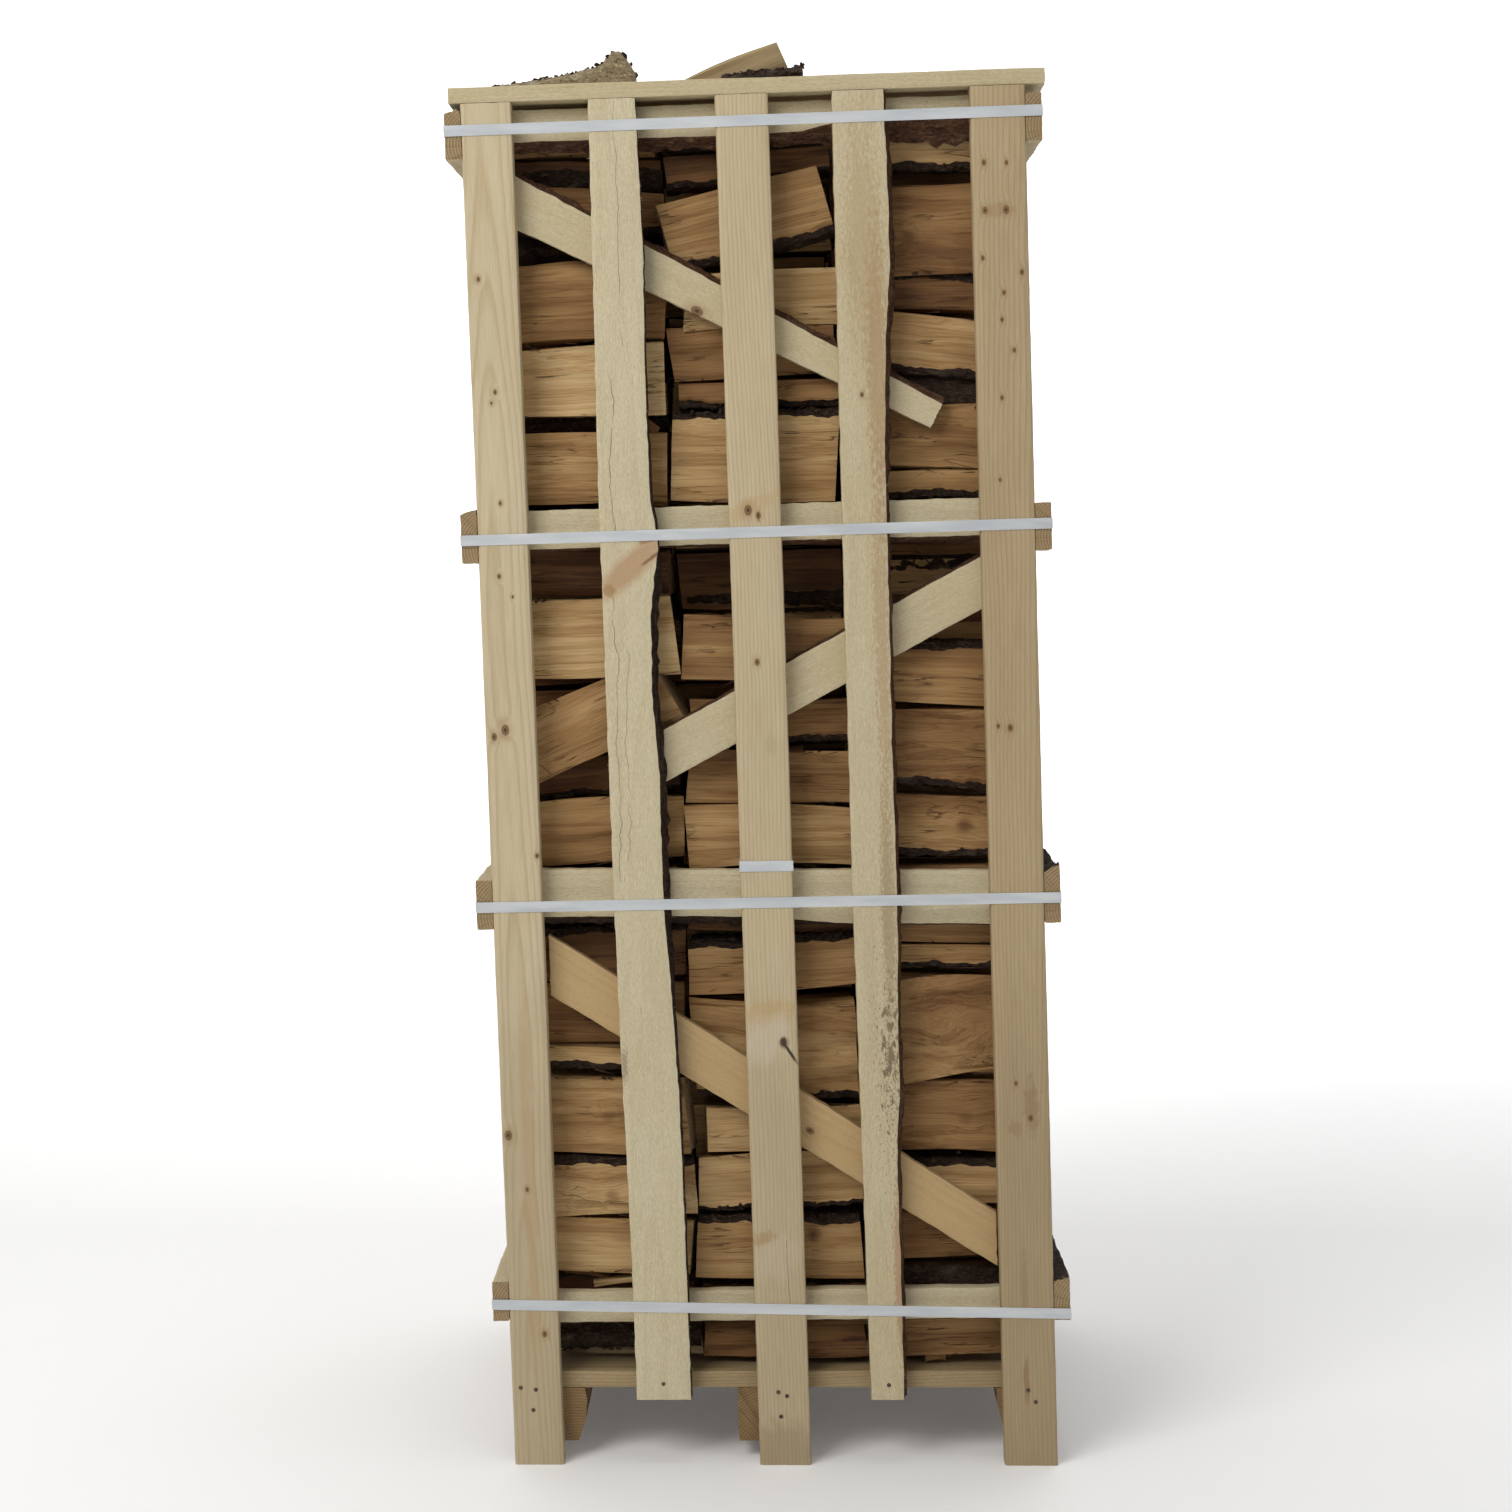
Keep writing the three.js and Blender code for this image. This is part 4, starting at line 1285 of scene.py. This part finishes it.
class Growth(Nodes):
    """Sets one small shape on every point of a mesh, by the points' aim and size."""

    def __init__(self, name, inputs):
        super().__init__(bpy.data.node_groups.new(name, "GeometryNodeTree"))
        self.add_socket("Points", "NodeSocketGeometry")
        self.add_socket("Finish", "NodeSocketMaterial")
        self.add_socket("Seed", "NodeSocketInt")
        for label, value in inputs.items():
            self.add_socket(label, "NodeSocketFloat").default_value = value
        self.tree.interface.new_socket("Grown", in_out="OUTPUT", socket_type="NodeSocketGeometry")
        outputs = self.tree.nodes.new("NodeGroupInput").outputs
        self.given = {socket.name: Value(self, socket) for socket in outputs}

    def add_socket(self, label, kind):
        return self.tree.interface.new_socket(label, in_out="INPUT", socket_type=kind)

    def named(self, name, data_type):
        return self.node("GeometryNodeInputNamedAttribute", {"Name": name}, data_type=data_type)

    def close(self, kind, inputs):
        """Instances a shape with its Z along the aim, then roughens, realizes and paints it."""
        given = self.given
        aim = self.named("aim", "FLOAT_VECTOR")
        turn = self.node("FunctionNodeAlignRotationToVector", {"Vector": aim}, axis="Z")
        placed = self.node("GeometryNodeInstanceOnPoints", {
            "Points": given["Points"], "Instance": self.node(kind, inputs), "Rotation": turn,
            "Scale": self.named("size", "FLOAT"),
        })
        real = self.node("GeometryNodeRealizeInstances", {0: placed})
        place = self.node("GeometryNodeInputPosition")
        where = {"Vector": place, "W": given["Seed"], "Scale": ROUGH_SCALE}
        noise = self.node("ShaderNodeTexNoise", where, output=1, noise_dimensions="4D")
        centred = self.node("ShaderNodeVectorMath", {0: noise, 1: (0.5, 0.5, 0.5)}, operation="SUBTRACT")
        push = self.node("ShaderNodeVectorMath", {0: centred, 3: given["Roughness"]}, operation="SCALE")
        bent = self.node("GeometryNodeSetPosition", {"Geometry": real, "Offset": push})
        painted = self.node("GeometryNodeSetMaterial", {"Geometry": bent, "Material": given["Finish"]})
        self.put(painted, self.tree.nodes.new("NodeGroupOutput").inputs[0])
        return self.tree


def nail_growth():
    growth = Growth("nail_heads", {"Head Radius": 0.0033, "Roughness": 0.0})
    radius = growth.given["Head Radius"]
    return growth.close("GeometryNodeMeshCone", {
        "Vertices": 14, "Radius Bottom": radius, "Radius Top": radius * 0.75, "Depth": 0.0012,
    })


def splinter_growth():
    growth = Growth("splinters", {"Thickness": 0.02, "Roughness": 0.0012})
    return growth.close("GeometryNodeMeshCone", {
        "Vertices": 4, "Side Segments": 3, "Radius Bottom": growth.given["Thickness"], "Depth": 1.0,
    })


def flake_growth():
    growth = Growth("bark_flakes", {"Roughness": 0.004})
    return growth.close("GeometryNodeMeshCube", {
        "Size": (1.6, 0.9, 0.22), "Vertices X": 5, "Vertices Y": 4, "Vertices Z": 2,
    })


def grow(name, tree, spots, aims, sizes, settings):
    """Runs a node tree on points in the upright crate and keeps the result as a plain mesh."""
    seed_mesh = bpy.data.meshes.new(name + "_seed")
    seed_mesh.from_pydata(rack(np.array(spots, float)).tolist(), [], [])
    set_values(seed_mesh, "aim", aims)
    set_values(seed_mesh, "size", sizes)
    source = add_object(name + "_seed", seed_mesh)
    modifier = source.modifiers.new("grow", "NODES")
    modifier.node_group = tree
    for item in tree.interface.items_tree:
        if item.in_out == "INPUT" and item.name in settings:
            modifier[item.identifier] = settings[item.name]
    bpy.context.view_layer.update()
    evaluated = source.evaluated_get(bpy.context.evaluated_depsgraph_get())
    mesh = bpy.data.meshes.new_from_object(evaluated)
    bpy.data.objects.remove(source)
    mesh.name = name
    points = np.empty(len(mesh.vertices) * 3, np.float32)
    mesh.vertices.foreach_get("co", points)
    set_values(mesh, "grain", points.reshape(-1, 3))
    piece = add_object(name, mesh)
    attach(piece, "root")


FRONT_FACE = upright_box("post_left_front")[0][1]
BACK_FACE = upright_box("post_left_back")[1][1]
# Nail heads: [x, z].
NAILS = [
    [-0.379, 0.118], [-0.384, 0.086], [-0.402, 0.121], [-0.009, 0.114], [0.004, 0.108], [-0.006, 0.076],
    [0.372, 0.117], [0.383, 0.099], [-0.184, 0.127], [0.160, 0.125],
]
nail_spots = [[x, face, z] for face in (FRONT_FACE, BACK_FACE) for x, z in NAILS]
nail_aims = [[0, -1 if spot[1] < 0 else 1, 0] for spot in nail_spots]
nail_sizes = [1.0] * len(nail_spots)
nail_settings = {"Head Radius": 0.0033, "Roughness": 0.0, "Seed": 1, "Finish": STEEL}
grow("nail_heads", nail_growth(), nail_spots, nail_aims, nail_sizes, nail_settings)

spots, sizes = zip(*flake_spots)
flake_rng = np.random.default_rng(31)
sideways, upward = flake_rng.normal(0, 0.5, len(spots)), flake_rng.normal(-0.2, 0.7, len(spots))
aims = np.stack([sideways, np.full(len(spots), -1.0), upward], 1)
flake_settings = {"Roughness": 0.007, "Seed": 3, "Finish": BARK}
grow("bark_flakes", flake_growth(), spots, aims, sizes, flake_settings)
splinters = splinter_growth()
spots, aims, sizes = zip(*splinter_spots)
log_splinters = {"Thickness": 0.035, "Roughness": 0.002, "Seed": 5, "Finish": BIRCH}
grow("log_splinters", splinters, spots, aims, sizes, log_splinters)

# The slats' rough edges: [edge line, which way it faces, splinters].
ROUGH_EDGES = [
    [LEFT_SLAT[1], 1, 420], [LEFT_SLAT[0], -1, 60], [RIGHT_SLAT[1], 1, 160], [RIGHT_SLAT[0], -1, 60],
]
edge_rng = np.random.default_rng(33)
fuzz = []
for face in (FRONT_FACE, BACK_FACE):
    for edges, side, count in ROUGH_EDGES:
        for z in edge_rng.uniform(0.11, 2.05, count):
            deep = math.copysign(edge_rng.uniform(0, 0.012), -face)
            spot = [np.interp(z, *edges) - side * 0.001, face + deep, z]
            aim = [side * edge_rng.uniform(0.2, 1.0), edge_rng.normal(0, 0.3), edge_rng.normal(-0.6, 0.7)]
            fuzz.append((spot, aim, edge_rng.uniform(0.002, 0.0065)))
spots, aims, sizes = zip(*fuzz)
slat_fuzz = {"Thickness": 0.06, "Roughness": 0.0015, "Seed": 7, "Finish": SAWN}
grow("slat_splinters", splinters, spots, aims, sizes, slat_fuzz)

# ---- Straps ----

for node in ("strap_bottom", "strap_lower", "strap_upper", "strap_top", "cross_tie"):
    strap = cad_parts[node]
    strap.data.materials.clear()
    strap.data.materials.append(STRAP)

# ---- Studio: camera, light and floor ----

CAMERA_DISTANCE = 4.04
CAMERA_HEIGHT = 1.409
CAMERA_X = ORIGIN_SHIFT - 0.021
CAMERA_DROP, CAMERA_TURN = 0.07943, 0.0064
LENS = 64.47

camera_data = bpy.data.cameras.new("camera")
camera_data.lens = LENS
camera_data.sensor_width = 36
camera = add_object("camera", camera_data)
camera.location = (CAMERA_X, FRONT_FACE - CAMERA_DISTANCE, CAMERA_HEIGHT)
camera.rotation_euler = (math.pi / 2 - CAMERA_DROP, 0, CAMERA_TURN)
bpy.context.scene.camera = camera


def area_light(name, location, aim, size, power, colour):
    data = bpy.data.lights.new(name, "AREA")
    data.size, data.energy, data.color = size, power, colour
    light = add_object(name, data)
    light.location = location
    light.rotation_euler = (Vector(aim) - Vector(location)).to_track_quat("-Z", "Y").to_euler()


area_light("key", (-2.5, -3.7, 4.2), (0, 0, 1.5), 2.6, 150, (1, 0.985, 0.955))
area_light("fill", (2.6, -4.6, 3.4), (0, 0, 1.6), 3.0, 12, (0.95, 0.97, 1))
area_light("overhead", (0.0, 0.4, 4.6), (0, 0.2, 0), 3.0, 60, (1, 1, 1))

world = bpy.data.worlds.new("studio")
world.use_nodes = True
world.node_tree.nodes["Background"].inputs["Color"].default_value = (1, 1, 1, 1)
world.node_tree.nodes["Background"].inputs["Strength"].default_value = 0.3
bpy.context.scene.world = world
bpy.context.scene.view_settings.view_transform = "Standard"


def sweep():
    """A pale floor that curves up into a softly glowing backdrop."""
    half, reach, back, radius, top = 14.0, -12.0, 5.0, 2.5, 9.0
    profile = [(y, 0.0) for y in np.linspace(reach, back, 18)]
    for angle in np.linspace(0, math.pi / 2, 16)[1:]:
        profile.append((back + radius * math.sin(angle), radius * (1 - math.cos(angle))))
    profile.append((back + radius, top))
    points = [(x, y, z) for x in (-half, half) for y, z in profile]
    count = len(profile)
    faces = [(i, i + count, i + count + 1, i + 1) for i in range(count - 1)]
    mesh = bpy.data.meshes.new("studio_sweep")
    mesh.from_pydata(points, [], faces)
    mesh.shade_smooth()
    shader = Shader("studio_floor")
    shader.surface.inputs["Base Color"].default_value = (0.9, 0.9, 0.9, 1)
    shader.surface.inputs["Roughness"].default_value = 0.9
    _, away, _ = shader.parts(shader.node("ShaderNodeTexCoord", output=3))
    shader.put((1, 1, 1, 1), shader.surface.inputs["Emission Color"])
    shader.put(shader.band(away, 1.0, 6.0, 0.08, 0.85), shader.surface.inputs["Emission Strength"])
    mesh.materials.append(shader.material)
    floor = add_object("studio_sweep", mesh)
    floor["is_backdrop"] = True


sweep()

sizes = {
    "cad": [list(map(float, corner)) for corner in CAD_BOX],
    "visual": [list(map(float, corner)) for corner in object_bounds()],
}
